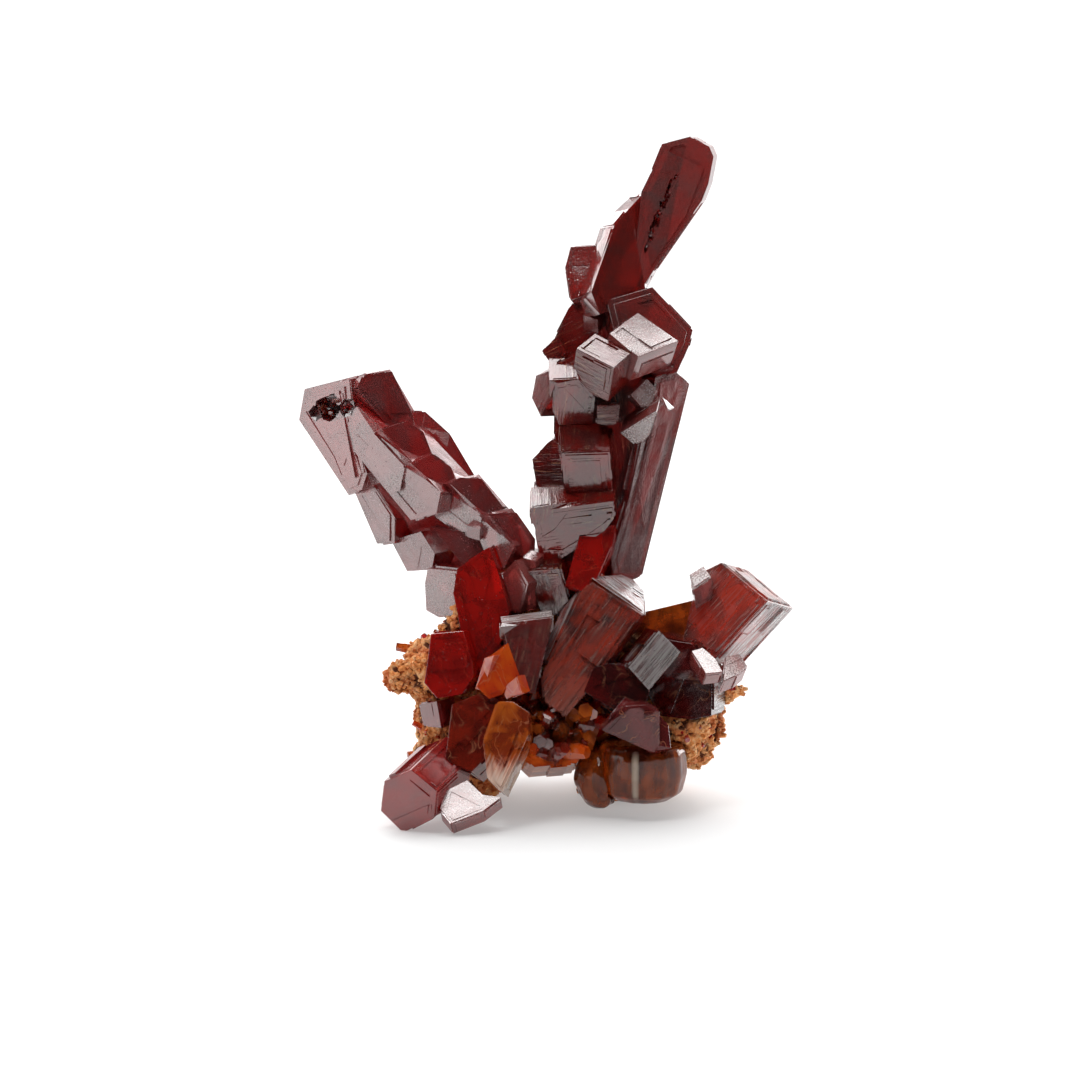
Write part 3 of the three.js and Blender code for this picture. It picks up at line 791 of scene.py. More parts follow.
def tidied(outline: list[Vector], shortest: float) -> list[Vector]:
    """An outline without its shortest edges."""
    kept: list[Vector] = []
    for point in outline:
        if not kept or (point - kept[-1]).length > shortest:
            kept.append(point)
    while len(kept) > 2 and (kept[0] - kept[-1]).length <= shortest:
        kept.pop()
    return kept


LEAST_SIDE = 0.35 * MM  # shorter sides of a face don't bound its growth steps
LEAST_INSET = 0.07 * MM  # between the edge of a face and a growth step on it
LEAST_STEP_EDGE = 0.05 * MM
LEAST_STEP = 0.12 * MM2
LEAST_RIDGE_EDGE = 0.03 * MM
LEAST_RIDGE = 0.02 * MM2
RIDGE_MARGIN = 0.1 * MM
RIDGE_RISE = (0.015 * MM, 0.05 * MM)
SUNKEN_SHARE = 0.25
ROOT = 0.12 * MM  # how deep the body of a raised plate reaches into the crystal
HEADROOM = 0.2 * MM  # how far the body of a sunken plate stands out of the crystal
DRAFT = 0.02 * MM  # how much a plate narrows towards its own face


@dataclass
class Relief:
    """Growth steps and ridges that stand on a crystal's faces, or are etched into them."""

    steps_each_mm2: float = 0.16
    most_steps: int = 5
    rise: tuple[float, float] = (0.03 * MM, 0.11 * MM)
    least_area: float = 1.6 * MM2
    ridges: bool = False
    ridge_pitch: float = 0.42 * MM
    tilt: float = 0.03
    seed: int = 1

    def __post_init__(self) -> None:
        """Starts the row of random numbers that the steps' tilts are taken from."""
        self.tilts = random.Random(self.seed + 100)

    def sides(self, outline: list[Vector]) -> list[tuple[Vector, float]]:
        """The outward normal and distance of each long side of the outline's hull."""
        order = convex_hull_2d(outline)
        hull = [outline[i] for i in order]
        if area_of(hull) < 0:
            hull.reverse()
        found = []
        for i, here in enumerate(hull):
            edge = hull[(i + 1) % len(hull)] - here
            if edge.length > LEAST_SIDE:
                normal = Vector((edge.y, -edge.x)).normalized()
                found.append((normal, normal.dot(here)))
        return found

    def step(self, facet: Facet, rng: random.Random) -> list[Vector]:
        """The outline of one growth step, whose sides keep to the facet's own directions."""
        outline = facet.outline
        reach = math.sqrt(facet.area)
        for normal, distance in self.sides(outline):
            inward = rng.choice((0.06, 0.12, rng.uniform(0.1, 0.75))) * reach
            outline = clipped(outline, normal, distance - max(inward, LEAST_INSET))
            if len(outline) < 3:
                return []
        return tidied(outline, LEAST_STEP_EDGE)

    def ridge_outlines(self, facet: Facet, rng: random.Random) -> list[list[Vector]]:
        """Outlines of the ridges that run along the facet."""
        low = min(p.y for p in facet.outline) + RIDGE_MARGIN
        high = max(p.y for p in facet.outline) - RIDGE_MARGIN
        found = []
        y = low
        across = Vector((0.0, 1.0))
        while y < high:
            width = self.ridge_pitch * rng.uniform(0.25, 0.9)
            strip = clipped(clipped(facet.outline, across, min(y + width, high)), -across, -y)
            end = rng.uniform(0.05, 0.35) * MM
            for normal, distance in self.sides(facet.outline):
                if len(strip) >= 3:
                    strip = clipped(strip, normal, distance - end)
            strip = tidied(strip, LEAST_RIDGE_EDGE)
            if len(strip) >= 3 and abs(area_of(strip)) > LEAST_RIDGE:
                found.append(strip)
            y += width + self.ridge_pitch * rng.uniform(0.12, 0.6)
        return found

    def plates(self, facets: list[Facet]) -> tuple[list[bmesh.types.BMesh], list[bmesh.types.BMesh]]:
        """Thin plates that are joined to the crystal, and thin plates that are cut out of it.

        Args:
            facets: the crystal's faces.

        Returns:
            The raised plates and the sunken ones, each list in layers.
        """
        rng = random.Random(self.seed)
        raised: list[bmesh.types.BMesh] = []
        sunken: list[bmesh.types.BMesh] = []
        for facet in facets:
            if facet.area < self.least_area:
                continue
            count = min(self.most_steps, max(1, round(facet.area / MM2 * self.steps_each_mm2)))
            layer = 0
            for index in range(count):
                outline = self.step(facet, rng)
                rise = rng.uniform(*self.rise) * (1 + 0.5 * index)
                sinks = index > 0 and rng.random() < SUNKEN_SHARE
                if len(outline) < 3 or abs(area_of(outline)) < LEAST_STEP:
                    continue
                if sinks:
                    self.add(sunken, 0, facet, outline, rng.uniform(0.4, 0.8) * self.rise[1], True)
                else:
                    self.add(raised, layer, facet, outline, rise, False)
                    layer += 1
            if self.ridges:
                for outline in self.ridge_outlines(facet, rng):
                    self.add(raised, layer, facet, outline, rng.uniform(*RIDGE_RISE), False)
        return raised, sunken

    def add(
        self,
        layers: list[bmesh.types.BMesh],
        layer: int,
        facet: Facet,
        outline: list[Vector],
        height: float,
        sunk: bool,
    ) -> None:
        """Adds one plate to its layer.

        Args:
            layers: the layers made so far.
            layer: the index of the plate's own layer.
            facet: the face it stands on.
            outline: its outline on that face.
            height: how far it rises, or how deep it is cut.
            sunk: whether it is cut out.
        """
        while len(layers) <= layer:
            layers.append(bmesh.new())
        bm = layers[layer]
        if area_of(outline) < 0:
            outline = list(reversed(outline))
        middle = sum(outline, Vector((0.0, 0.0))) / len(outline)
        taper = max(0.85, 1 - DRAFT / math.sqrt(abs(area_of(outline))))
        if sunk:
            levels = ((-height, taper), (HEADROOM, 1.0))
        else:
            levels = ((-ROOT, 1.0), (height, taper))
        slope = Vector((self.tilts.uniform(-1, 1), self.tilts.uniform(-1, 1))) * self.tilt
        rings = []
        for level, scale in levels:
            points = [middle + (p - middle) * scale for p in outline]
            lean = slope if level == height or sunk and level < 0 else Vector((0.0, 0.0))
            rings.append([bm.verts.new(facet.lift(p, level + lean.dot(p - middle))) for p in points])
        bm.faces.new(list(reversed(rings[0])))
        bm.faces.new(rings[1])
        for i in range(len(outline)):
            j = (i + 1) % len(outline)
            bm.faces.new((rings[0][i], rings[0][j], rings[1][j], rings[1][i]))


# ---------------------------------------------------------------- crystals


MOST_SPREAD = 1.6  # how many times the closing a sharp corner may move
LEAST_FACET = 0.05 * MM2
SHARP = 0.25  # radians between two faces whose edge is softened
CAVITY_SKIN = 0.01 * MM  # how near a cavity's lining lies to the lump that cut it
MAPPED_FACETS = 60
MAP_SHIFT = 7.3  # millimetres between one face's part of the grain map and the next
RIB_TURNS = 7  # how quickly the ribs of a rounded crystal follow one another around it
RIB_LENGTH = 6 * MM
LUMP_SIZE = 0.9 * MM


@dataclass(frozen=True)
class PaintedHighlight:
    """A painted highlight: whitish colour on the faces of a crystal that look one way, seen from the
    front.
    """

    towards: tuple[float, float, float]
    share: float = 0.8
    within: float = 0.97

    def marks(self, front: "Front", normals: np.ndarray) -> np.ndarray:
        """How strong the painted highlight is on each face.

        Args:
            front: where the front view is.
            normals: the faces' outward normals.

        Returns:
            The share of painted highlight, 0 on the faces that look elsewhere.
        """
        x, h, d = self.towards
        direction = (front.right * x + front.up * h + front.out * d).normalized()
        return np.where(normals @ np.array(direction) > self.within, self.share, 0.0)


@dataclass(frozen=True)
class Cavity:
    """A jagged hollow, broken or etched into a crystal where the front view meets it."""

    x: float
    h: float
    radii: tuple[float, float, float]
    turn: float = 0.0
    seed: int = 1
    proud: float = 0.0

    def lump(self, front: Front, surface: BVHTree) -> bmesh.types.BMesh:
        """The angular lump that is cut out.

        Args:
            front: where the front view is.
            surface: the crystal's surface.

        Returns:
            The lump, with its middle on the surface.
        """
        place, normal = front.hit(surface, self.x, self.h)
        place += front.out * self.proud * MM
        along = front.up - normal * front.up.dot(normal)
        along = Matrix.Rotation(math.radians(self.turn), 3, normal) @ along.normalized()
        axes = Matrix((along.cross(normal), along, normal)).transposed()
        rng = random.Random(self.seed)
        bm = bmesh.new()
        bmesh.ops.create_icosphere(bm, subdivisions=2, radius=1.0)
        for vert in bm.verts:
            swell = rng.uniform(0.62, 1.15)
            local = Vector([c * r * MM * swell for c, r in zip(vert.co, self.radii, strict=True)])
            vert.co = place + axes @ local
        return bm


def furrow(path: list[tuple[float, float]], width: float, depth: float, seed: int) -> tuple[Cavity, ...]:
    """Cavities strung out along a path on the front, like an etched furrow.

    Args:
        path: the ends of the path, in millimetres.
        width: half the furrow's width.
        depth: its depth.
        seed: the row of random numbers.

    Returns:
        The cavities.
    """
    rng = random.Random(seed)
    (x0, h0), (x1, h1) = path
    length = math.hypot(x1 - x0, h1 - h0)
    lean = math.degrees(math.atan2(x0 - x1, h0 - h1))
    count = max(2, round(length / 0.75))
    found = []
    for i in range(count):
        share = (i + 0.5) / count
        half = width * rng.uniform(0.5, 1.1) * (0.5 + math.sin(math.pi * share))
        x = x0 + (x1 - x0) * share + rng.uniform(-0.12, 0.12)
        radii = (half, rng.uniform(0.4, 0.75), depth)
        found.append(Cavity(x, h0 + (h1 - h0) * share, radii, -lean, rng.randrange(999)))
    return tuple(found)


@dataclass
class Crystal:
    """One crystal, or one group of intergrown crystals, that stands for a CAD node of the same name."""

    node: str
    finish: CrystalFinish
    relief: Relief = field(default_factory=Relief)
    cavities: tuple[Cavity, ...] = ()
    painted_highlights: tuple[PaintedHighlight, ...] = ()
    closing: float = 0.17 * MM
    edge: float = 0.045 * MM

    def solid(self) -> tuple[bmesh.types.BMesh, list[Facet]]:
        """The crystal's body with softened edges, a little fatter than its node, and its faces."""
        bm = clean_copy(self.node)
        bm.normal_update()
        for vert in bm.verts:
            vert.co += vert.normal * min(vert.calc_shell_factor(), MOST_SPREAD) * self.closing
        for vert in bm.verts:
            vert.co.z = max(vert.co.z, FLOOR_GAP)
        bm.normal_update()
        facets = [Facet.of(face) for face in bm.faces if face.calc_area() > LEAST_FACET]
        bmesh.ops.bevel(
            bm,
            geom=[e for e in bm.edges if e.is_manifold and abs(e.calc_face_angle(0.0)) > SHARP],
            offset=self.edge,
            segments=1,
            affect="EDGES",
            clamp_overlap=True,
        )
        bmesh.ops.triangulate(bm, faces=bm.faces)
        return bm, facets

    def build(self, front: Front) -> bpy.types.Object:
        """Makes the piece with its growth steps and its grain map, and dresses it."""
        bm, facets = self.solid()
        raised, sunken = self.relief.plates(facets)
        surface = BVHTree.FromBMesh(bm)
        lumps = [cavity.lump(front, surface) for cavity in self.cavities]
        holes = [BVHTree.FromBMesh(lump) for lump in lumps]
        sunken += lumps
        piece = object_of(self.node + "_crystal", mesh_from(self.node, bm))
        tools = []
        for operation, layers in (("UNION", raised), ("DIFFERENCE", sunken)):
            for layer in layers:
                tool = object_of("tool", mesh_from("tool", layer))
                cut = piece.modifiers.new("growth", "BOOLEAN")
                cut.operation = operation
                cut.object = tool
                cut.solver = "MANIFOLD"
                tools.append(tool)
        whole = settled(piece)
        if len(whole.polygons) > 0:
            piece.data = whole
        else:
            LOG.warning("%s kept its plain faces", self.node)
        for tool in tools:
            bpy.data.objects.remove(tool)
        self.map_grain(piece.data, facets)
        self.mark_painted_light(piece.data, front, holes)
        dress(piece, self.finish.material(), self.finish.slot, self.node)
        return piece

    def mark_painted_light(self, mesh: bpy.types.Mesh, front: Front, holes: list[BVHTree]) -> None:
        """Notes which faces carry a painted highlight, and with -1 which ones line a cavity and take
        painted shade.
        """
        normals = rows(mesh.polygons, "normal")
        marks = np.zeros(len(normals))
        for painted_light in self.painted_highlights:
            marks = np.maximum(marks, painted_light.marks(front, normals))
        for index, polygon in enumerate(mesh.polygons if holes else ()):
            if any(hole.find_nearest(polygon.center, CAVITY_SKIN)[0] is not None for hole in holes):
                marks[index] = -1.0
        mark(mesh, "painted_light", "FACE", marks)

    def map_grain(self, mesh: bpy.types.Mesh, facets: list[Facet]) -> None:
        """Writes the map that runs along and across each face, in millimetres."""
        layer = mesh.uv_layers.new(name="grain")
        big = sorted(facets, key=lambda f: -f.area)[:MAPPED_FACETS]
        outs = np.array([f.out[:] for f in big])
        along = np.array([f.along[:] for f in big])
        across = np.array([f.across[:] for f in big])
        shift = np.arange(len(big)) * MAP_SHIFT
        best = np.argmax(rows(mesh.polygons, "normal") @ outs.T, axis=1)
        totals = rows(mesh.polygons, "loop_total", 1)[:, 0].astype(int)
        corners = rows(mesh.loops, "vertex_index", 1)[:, 0].astype(int)
        owner = np.repeat(best, totals)
        places = rows(mesh.vertices, "co")[corners]
        u = (places * along[owner]).sum(1) / MM + shift[owner]
        v = (places * across[owner]).sum(1) / MM + shift[owner]
        layer.data.foreach_set("uv", np.column_stack([u, v]).ravel())


@dataclass
class RoundCrystal(Crystal):
    """A rounded crystal, ribbed along the frame's Z, with a painted highlight band down one side."""

    voxel: float = 0.14 * MM
    rib: float = 0.02 * MM
    lumps: float = 0.03 * MM
    painted_band: tuple[float, float, float] = (0.0, 1.0, 0.0)

    def build(self, front: Front) -> bpy.types.Object:
        """Makes the piece from a fine, smoothed skin."""
        piece = skinned(self.node, self.node + "_crystal", self.voxel, 7)
        fine = piece.data
        middle = sum((v.co for v in fine.vertices), Vector()) / len(fine.vertices)
        marks = []
        # Painted highlight: a pale vertical band at a turn in degrees, with its half width and share.
        turn, half, share = self.painted_band
        for vert, normal in [(v, v.normal.copy()) for v in fine.vertices]:
            spoke = vert.co - middle
            off = abs(math.degrees(math.atan2(spoke.x, -spoke.y)) - turn) / half
            marks.append(share * max(0.0, 1 - off**2) * (1 - abs(normal.z)))
            angle = math.atan2(spoke.y, spoke.x)
            side = 1 - abs(normal.z)
            around = (math.cos(angle) * RIB_TURNS, math.sin(angle) * RIB_TURNS)
            rib = noise.noise(Vector((*around, spoke.z / RIB_LENGTH)))
            lump = noise.noise(vert.co / LUMP_SIZE)
            vert.co += normal * (self.closing + rib * self.rib * side + lump * self.lumps)
            vert.co.z = max(vert.co.z, FLOOR_GAP)
        mark(fine, "painted_light", "POINT", marks)
        dress(piece, self.finish.material(), self.finish.slot, self.node)
        return piece


@dataclass
class Group:
    """A sub-assembly of crystals that stand together."""

    title: str
    crystals: tuple[Crystal, ...]

    def build(self, front: Front) -> list[bpy.types.Object]:
        """Makes every crystal of the group."""
        made = []
        for crystal in self.crystals:
            piece = crystal.build(front)
            LOG.info("%s: %s, %d faces", self.title, piece.name, len(piece.data.polygons))
            made.append(piece)
        return made


STEPS_ONLY = Relief(most_steps=2, seed=7)
RIDGED = Relief(ridges=True, seed=5)


def left_arm() -> Group:
    """The long arm that leans left, with the crystals at its root."""
    # Painted highlights on the faces that look to the lit left side.
    lit = (-0.569, -0.122, 0.813)
    broken_tip = (
        Cavity(-18.3, 33.6, (1.9, 1.15, 1.3), -4.0, 3, 0.8),
        Cavity(-19.5, 33.4, (1.0, 0.7, 0.7), -20.0, 4, 0.1),
        Cavity(-17.0, 33.8, (1.0, 0.7, 0.7), 20.0, 5, 0.1),
        Cavity(-18.3, 34.5, (0.7, 0.5, 0.6), 10.0, 6, 0.1),
    )
    return Group(
        "left arm",
        (
            Crystal("left_arm", LILAC_RED, Relief(seed=11), broken_tip, (PaintedHighlight(lit, 0.26),)),
            Crystal("arm_root_block", LILAC_RED, Relief(seed=12), painted_highlights=(PaintedHighlight(lit, 0.42),)),
            Crystal("red_blade", BLOOD_RED, Relief(seed=13)),
            Crystal("lit_sliver", PALE, STEPS_ONLY),
            Crystal("red_knob", BLOOD_RED, Relief(seed=15)),
            Crystal("small_left_crystal", LILAC_RED, STEPS_ONLY),
        ),
    )


def tower() -> Group:
    """The upright stack, the plate and the blocks at its head, and the slab on its right."""
    # Painted highlights on the faces that catch the lights.
    head = (PaintedHighlight((0.244, 0.731, 0.637), 0.7),)
    square = (PaintedHighlight((-0.087, -0.087, 0.992), 0.35),)
    bright = (PaintedHighlight((-0.142, -0.574, 0.807), 0.9),)
    hexagon = (PaintedHighlight((0.174, 0.0, 0.985), 0.5),)
    plate = (PaintedHighlight((0.139, 0.07, 0.988), 0.06),)
    slab = (PaintedHighlight((0.258, -0.087, 0.962), 0.2),)
    return Group(
        "tower",
        (
            Crystal("tower_stack", MAUVE_GREY, Relief(seed=21, ridges=True)),
            Crystal("front_block", MAUVE_GREY, STEPS_ONLY),
            Crystal("upper_block", PALE, Relief(seed=22), painted_highlights=head),
            Crystal("tower_square_crystal", MAUVE_GREY, STEPS_ONLY, painted_highlights=square),
            Crystal("tower_bright_crystal", PALE, STEPS_ONLY, painted_highlights=bright),
            Crystal("tower_hex_crystal", PALE, STEPS_ONLY, painted_highlights=hexagon),
            Crystal("hex_plate", DEEP_RED, Relief(seed=23), painted_highlights=plate),
            Crystal("tall_slab", SLAB_RED, Relief(seed=24), painted_highlights=slab),
            Crystal("red_ledge_crystal", BLOOD_RED, STEPS_ONLY),
            Crystal("tower_back_plate", DEEP_RED, Relief(seed=25)),
            Crystal("tower_back_block", MAUVE_GREY, Relief(seed=26)),
        ),
    )


def plume() -> Group:
    """The twinned blade at the top, etched along its seam, and the crystal at its foot."""
    seam = furrow([(9.3, 52.6), (6.7, 46.2)], 0.42, 0.5, 8)
    side_seam = furrow([(8.3, 51.2), (7.6, 47.6)], 0.2, 0.25, 9)
    # Painted highlights on the faces that catch the lights.
    faint_highlight = (PaintedHighlight((-0.139, -0.052, 0.989), 0.09),)
    return Group(
        "plume",
        (
            Crystal("plume", DEEP_RED, Relief(seed=31), seam + side_seam, faint_highlight),
            Crystal("plume_side_crystal", DEEP_RED, STEPS_ONLY),
        ),
    )


def middle_and_right() -> Group:
    """The prisms that lean right, and the dark and the bright crystals between them."""
    # Painted highlights on the faces that catch the lights.
    centre = (
        PaintedHighlight((-0.73, 0.454, 0.511), 0.45),
        PaintedHighlight((0.492, 0.766, 0.413), 0.9),
        PaintedHighlight((0.0, 0.174, 0.985), 0.05),
    )
    wedge = (PaintedHighlight((0.0, 0.883, 0.469), 0.9), PaintedHighlight((0.0, 0.052, 0.999), 0.05))
    right = (PaintedHighlight((0.576, -0.687, 0.444), 1.0), PaintedHighlight((-0.495, 0.139, 0.858), 0.08))
    dark = (PaintedHighlight((0.225, -0.035, 0.974), 0.5, 0.985),)
    edge = (PaintedHighlight((0.966, 0.0, 0.26), 0.9, 0.9),)
    cube = (PaintedHighlight((-0.11, 0.77, 0.63), 0.9, 0.5),)
    plate = (PaintedHighlight((0.23, 0.74, 0.63), 0.9),)
    ledge = (PaintedHighlight((0.3, 0.71, 0.64), 0.9),)
    return Group(
        "middle and right",
        (
            Crystal("centre_prism", CENTRE_RED, RIDGED, painted_highlights=centre),
            Crystal("wedge_crystal", MAUVE_GREY, Relief(seed=41), painted_highlights=wedge),
            Crystal("dark_block", SMOKY_RED, STEPS_ONLY),
            Crystal("dark_prism", BLACK_RED, Relief(seed=42, ridges=True), painted_highlights=dark),
            Crystal("right_prism", STRIATED_RED, RIDGED, painted_highlights=right),
            Crystal("white_cube", PALE, STEPS_ONLY, painted_highlights=cube),
            Crystal("ledge_plate", PALE, STEPS_ONLY, painted_highlights=plate),
            Crystal("ledge_crystal", PALE, STEPS_ONLY, painted_highlights=ledge),
            Crystal("dark_crystal", BLACK_RED, Relief(seed=43), painted_highlights=edge),
            Crystal("bridge_crystal", AMBER, STEPS_ONLY),
        ),
    )


def lower_front() -> Group:
    """The amber group in front of the rock, and the prism and the flat crystal at the lower left."""
    # Painted highlight on the face that catches the lights.
    flat = (PaintedHighlight((-0.09, 0.53, 0.84), 0.7),)
    return Group(
        "lower front",
        (
            # The barrel carries a painted highlight band.
            RoundCrystal("barrel_crystal", AMBER, painted_band=(-9.0, 5.5, 1.0)),
            RoundCrystal("foot_lobe", AMBER, lumps=0.12 * MM),
            Crystal("amber_floor_crystal", HONEY, Relief(seed=51)),
            Crystal("orange_crystal", ORANGE, STEPS_ONLY),
            Crystal("honey_blade", HONEY_LIT_TIP, Relief(seed=52)),
            Crystal("brown_crystal", BROWN, Relief(seed=53)),
            Crystal("corner_prism", CORNER_RED, Relief(seed=54)),
            Crystal("flat_bright_crystal", PALE, STEPS_ONLY, painted_highlights=flat),
        ),
    )


def back() -> Group:
    """The crystals on the back of the rock."""
    finishes = {
        "back_prism_left": DEEP_RED,
        "back_prism_middle": BLOOD_RED,
        "back_prism_right": DEEP_RED,
        "back_plate_low": BLACK_RED,
        "back_block_right": ORANGE,
        "back_block_left": DEEP_RED,
        "back_block_low": BLOOD_RED,
    }
    crystals = [
        Crystal(node, finish, Relief(seed=seed))
        for seed, (node, finish) in enumerate(finishes.items(), start=61)
    ]
    return Group("back", tuple(crystals))


# ---------------------------------------------------------------- rock


@dataclass
class Rock:
    """The ironstone matrix, porous and granular, sawn flat underneath."""

    node: str = "matrix"
    voxel: float = 0.17 * MM
    swell: float = 0.12 * MM
    lumps: tuple[tuple[float, float], ...] = ((2.2, 0.28), (0.8, 0.2), (0.3, 0.1))
    grains: tuple[tuple[float, float], ...] = ((0.9, 0.24), (0.45, 0.14))
    hollows: tuple[tuple[float, float, float], ...] = ((1.2, 0.5, 0.16), (0.5, 0.26, 0.14))
    sawn: float = 0.3 * MM
    offset: Vector = field(default_factory=lambda: Vector((3.1, 7.7, 1.3)))

    def build(self) -> bpy.types.Object:
        """Makes the rock with its pores and grains, and dresses it."""
        piece = skinned(self.node, "matrix_rock", self.voxel)
        self.weather(piece.data)
        dress(piece, IRONSTONE.material(), IRONSTONE.slot, self.node)
        return piece

    def weather(self, mesh: bpy.types.Mesh) -> None:
        """Roughens the surface and sinks pores into it, and notes how deep each place lies."""
        co = rows(mesh.vertices, "co")
        normals = rows(mesh.vertices, "normal")
        lift = np.zeros(len(co))
        for size, height in self.lumps:
            values = [noise.noise(Vector(p / (size * MM))) for p in co]
            lift += np.array(values) * height * MM
        for size, height in self.grains:
            nearest = [noise.voronoi(Vector(p / (size * MM)))[0][0] for p in co]
            lift += (0.4 - np.array(nearest)) * height * MM
        sunk = np.zeros(len(co))
        for size, depth, start in self.hollows:
            values = np.array([noise.noise(Vector(p / (size * MM) + self.offset)) for p in co])
            sunk += np.clip((values - start) / 0.22, 0, 1) * depth * MM
        move = self.swell + lift - sunk
        move[co[:, 2] < self.sawn] = 0.0
        co += normals * move[:, None]
        co[:, 2] = np.maximum(co[:, 2], 0.0)
        mesh.vertices.foreach_set("co", co.ravel())
        mark(mesh, "hollow", "POINT", np.clip((sunk - 0.6 * lift) / (0.35 * MM), 0, 1))
        mesh.update()


# ---------------------------------------------------------------- small crystals and crumbs


class GrowthTree:
    """A geometry node tree, built up by a few short calls."""

    def __init__(self, name: str) -> None:
        """Starts an empty tree that gives a geometry."""
        self.tree = bpy.data.node_groups.new(name, "GeometryNodeTree")
        self.identifiers: dict[str, str] = {}
        self.way_in = self.tree.nodes.new("NodeGroupInput")
        self.way_out = self.tree.nodes.new("NodeGroupOutput")
        self.tree.interface.new_socket("Geometry", in_out="OUTPUT", socket_type="NodeSocketGeometry")

    def entry(self, name: str, kind: str) -> bpy.types.NodeSocket:
        """Adds a named input.

        Args:
            name: the input's name.
            kind: its socket type.

        Returns:
            The socket that brings it into the tree.
        """
        item = self.tree.interface.new_socket(name, in_out="INPUT", socket_type=kind)
        self.identifiers[name] = item.identifier
        return self.way_in.outputs[name]

    def node(self, kind: str, settings: dict, inputs: dict, output: str) -> bpy.types.NodeSocket:
        """Adds a node.

        Args:
            kind: the node's type.
            settings: its properties, set before its sockets.
            inputs: values or sockets for its inputs, by name.
            output: the name of the output that is wanted.

        Returns:
            That output.
        """
        node = self.tree.nodes.new(kind)
        for key, value in settings.items():
            setattr(node, key, value)
        for key, value in inputs.items():
            socket = next(s for s in node.inputs if s.name == key and s.enabled)
            if isinstance(value, bpy.types.NodeSocket):
                self.tree.links.new(value, socket)
            else:
                socket.default_value = value
        return next(s for s in node.outputs if s.name == output and s.enabled)

    def leave(self, geometry: bpy.types.NodeSocket) -> None:
        """Joins the last geometry to the output."""
        self.tree.links.new(geometry, self.way_out.inputs[0])

    def product(self, first: bpy.types.NodeSocket, second: bpy.types.NodeSocket) -> bpy.types.NodeSocket:
        """One number times another."""
        node = self.tree.nodes.new("ShaderNodeMath")
        node.operation = "MULTIPLY"
        self.tree.links.new(first, node.inputs[0])
        self.tree.links.new(second, node.inputs[1])
        return node.outputs[0]


def druse_tree() -> GrowthTree:
    """Six-sided prisms that grow from points, along each point's own direction and to its own size."""
    g = GrowthTree("druse")
    sites = g.entry("Sites", "NodeSocketGeometry")
    width = g.entry("Width", "NodeSocketFloat")
    length = g.entry("Length", "NodeSocketFloat")
    taper = g.entry("Taper", "NodeSocketFloat")
    sides = g.entry("Sides", "NodeSocketInt")
    seed = g.entry("Seed", "NodeSocketInt")
    finish = g.entry("Finish", "NodeSocketMaterial")
    cone = {"Vertices": sides, "Radius Top": taper, "Radius Bottom": 1.0, "Depth": 1.0}
    prism = g.node("GeometryNodeMeshCone", {"fill_type": "NGON"}, cone, "Mesh")
    named = "GeometryNodeInputNamedAttribute"
    growth = g.node(named, {"data_type": "FLOAT_VECTOR"}, {"Name": "growth"}, "Attribute")
    size = g.node(named, {"data_type": "FLOAT"}, {"Name": "size"}, "Attribute")
    chance = "FunctionNodeRandomValue"
    roll = g.node(chance, {"data_type": "FLOAT"}, {"Min": 0.0, "Max": math.tau, "Seed": seed}, "Value")
    reach = g.node(chance, {"data_type": "FLOAT"}, {"Min": 0.7, "Max": 1.5, "Seed": seed}, "Value")
    upright = g.node("FunctionNodeAlignRotationToVector", {"axis": "Z"}, {"Vector": growth}, "Rotation")
    spin = {"Axis": (0.0, 0.0, 1.0), "Angle": roll}
    spun = g.node("FunctionNodeAxisAngleToRotation", {}, spin, "Rotation")
    both = {"Rotation": upright, "Rotate By": spun}
    turned = g.node("FunctionNodeRotateRotation", {"rotation_space": "LOCAL"}, both, "Rotation")
    thick = g.product(size, width)
    tall = g.product(g.product(size, length), reach)
    scale = g.node("ShaderNodeCombineXYZ", {}, {"X": thick, "Y": thick, "Z": tall}, "Vector")
    placed = {"Points": sites, "Instance": prism, "Rotation": turned, "Scale": scale}
    many = g.node("GeometryNodeInstanceOnPoints", {}, placed, "Instances")
    whole = g.node("GeometryNodeRealizeInstances", {}, {"Geometry": many}, "Geometry")
    where = g.node("GeometryNodeInputPosition", {}, {}, "Position")
    measured = {"Vector": where, "Scale": 1 / MM}
    grain = g.node("ShaderNodeVectorMath", {"operation": "SCALE"}, measured, "Vector")
    kept = {"Geometry": whole, "Name": "grain", "Value": grain}
    store = {"data_type": "FLOAT2", "domain": "CORNER"}
    mapped = g.node("GeometryNodeStoreNamedAttribute", store, kept, "Geometry")
    g.leave(g.node("GeometryNodeSetMaterial", {}, {"Geometry": mapped, "Material": finish}, "Geometry"))
    return g


class Skin:
    """The skin of the pieces that are built so far, which small things grow on."""

    def __init__(self, pieces: list[bpy.types.Object]) -> None:
        """Gathers the pieces' faces."""
        verts: list[Vector] = []
        faces: list[list[int]] = []
        self.owners: list[str] = []
        for piece in pieces:
            start = len(verts)
            verts += [v.co.copy() for v in piece.data.vertices]
            faces += [[start + i for i in p.vertices] for p in piece.data.polygons]
            self.owners += [piece.name] * len(piece.data.polygons)
        self.tree = BVHTree.FromPolygons(verts, faces)

    def hit(self, front: Front, x: float, h: float, side: int) -> tuple[Vector, Vector, str] | None:
        """What a line from the front, or from behind, meets first.

        Args:
            front: where the front view is.
            x: millimetres to the right.
            h: millimetres up the cluster.
            side: 1 from the front and -1 from behind.

        Returns:
            The place, its outward normal and the piece's name, or None.
        """
        start = front.point(x, h, OUTSIDE * side)
        place, normal, index, _ = self.tree.ray_cast(start, -front.out * side)
        return (place, normal, self.owners[index]) if place is not None else None


TRIES = 25  # places that are tried for each small crystal
LEAST_RISE = 0.1  # share of a crystal's direction that points out of the face it grows on
SUNK = 0.25  # share of a small crystal's size that is inside the face it grows on


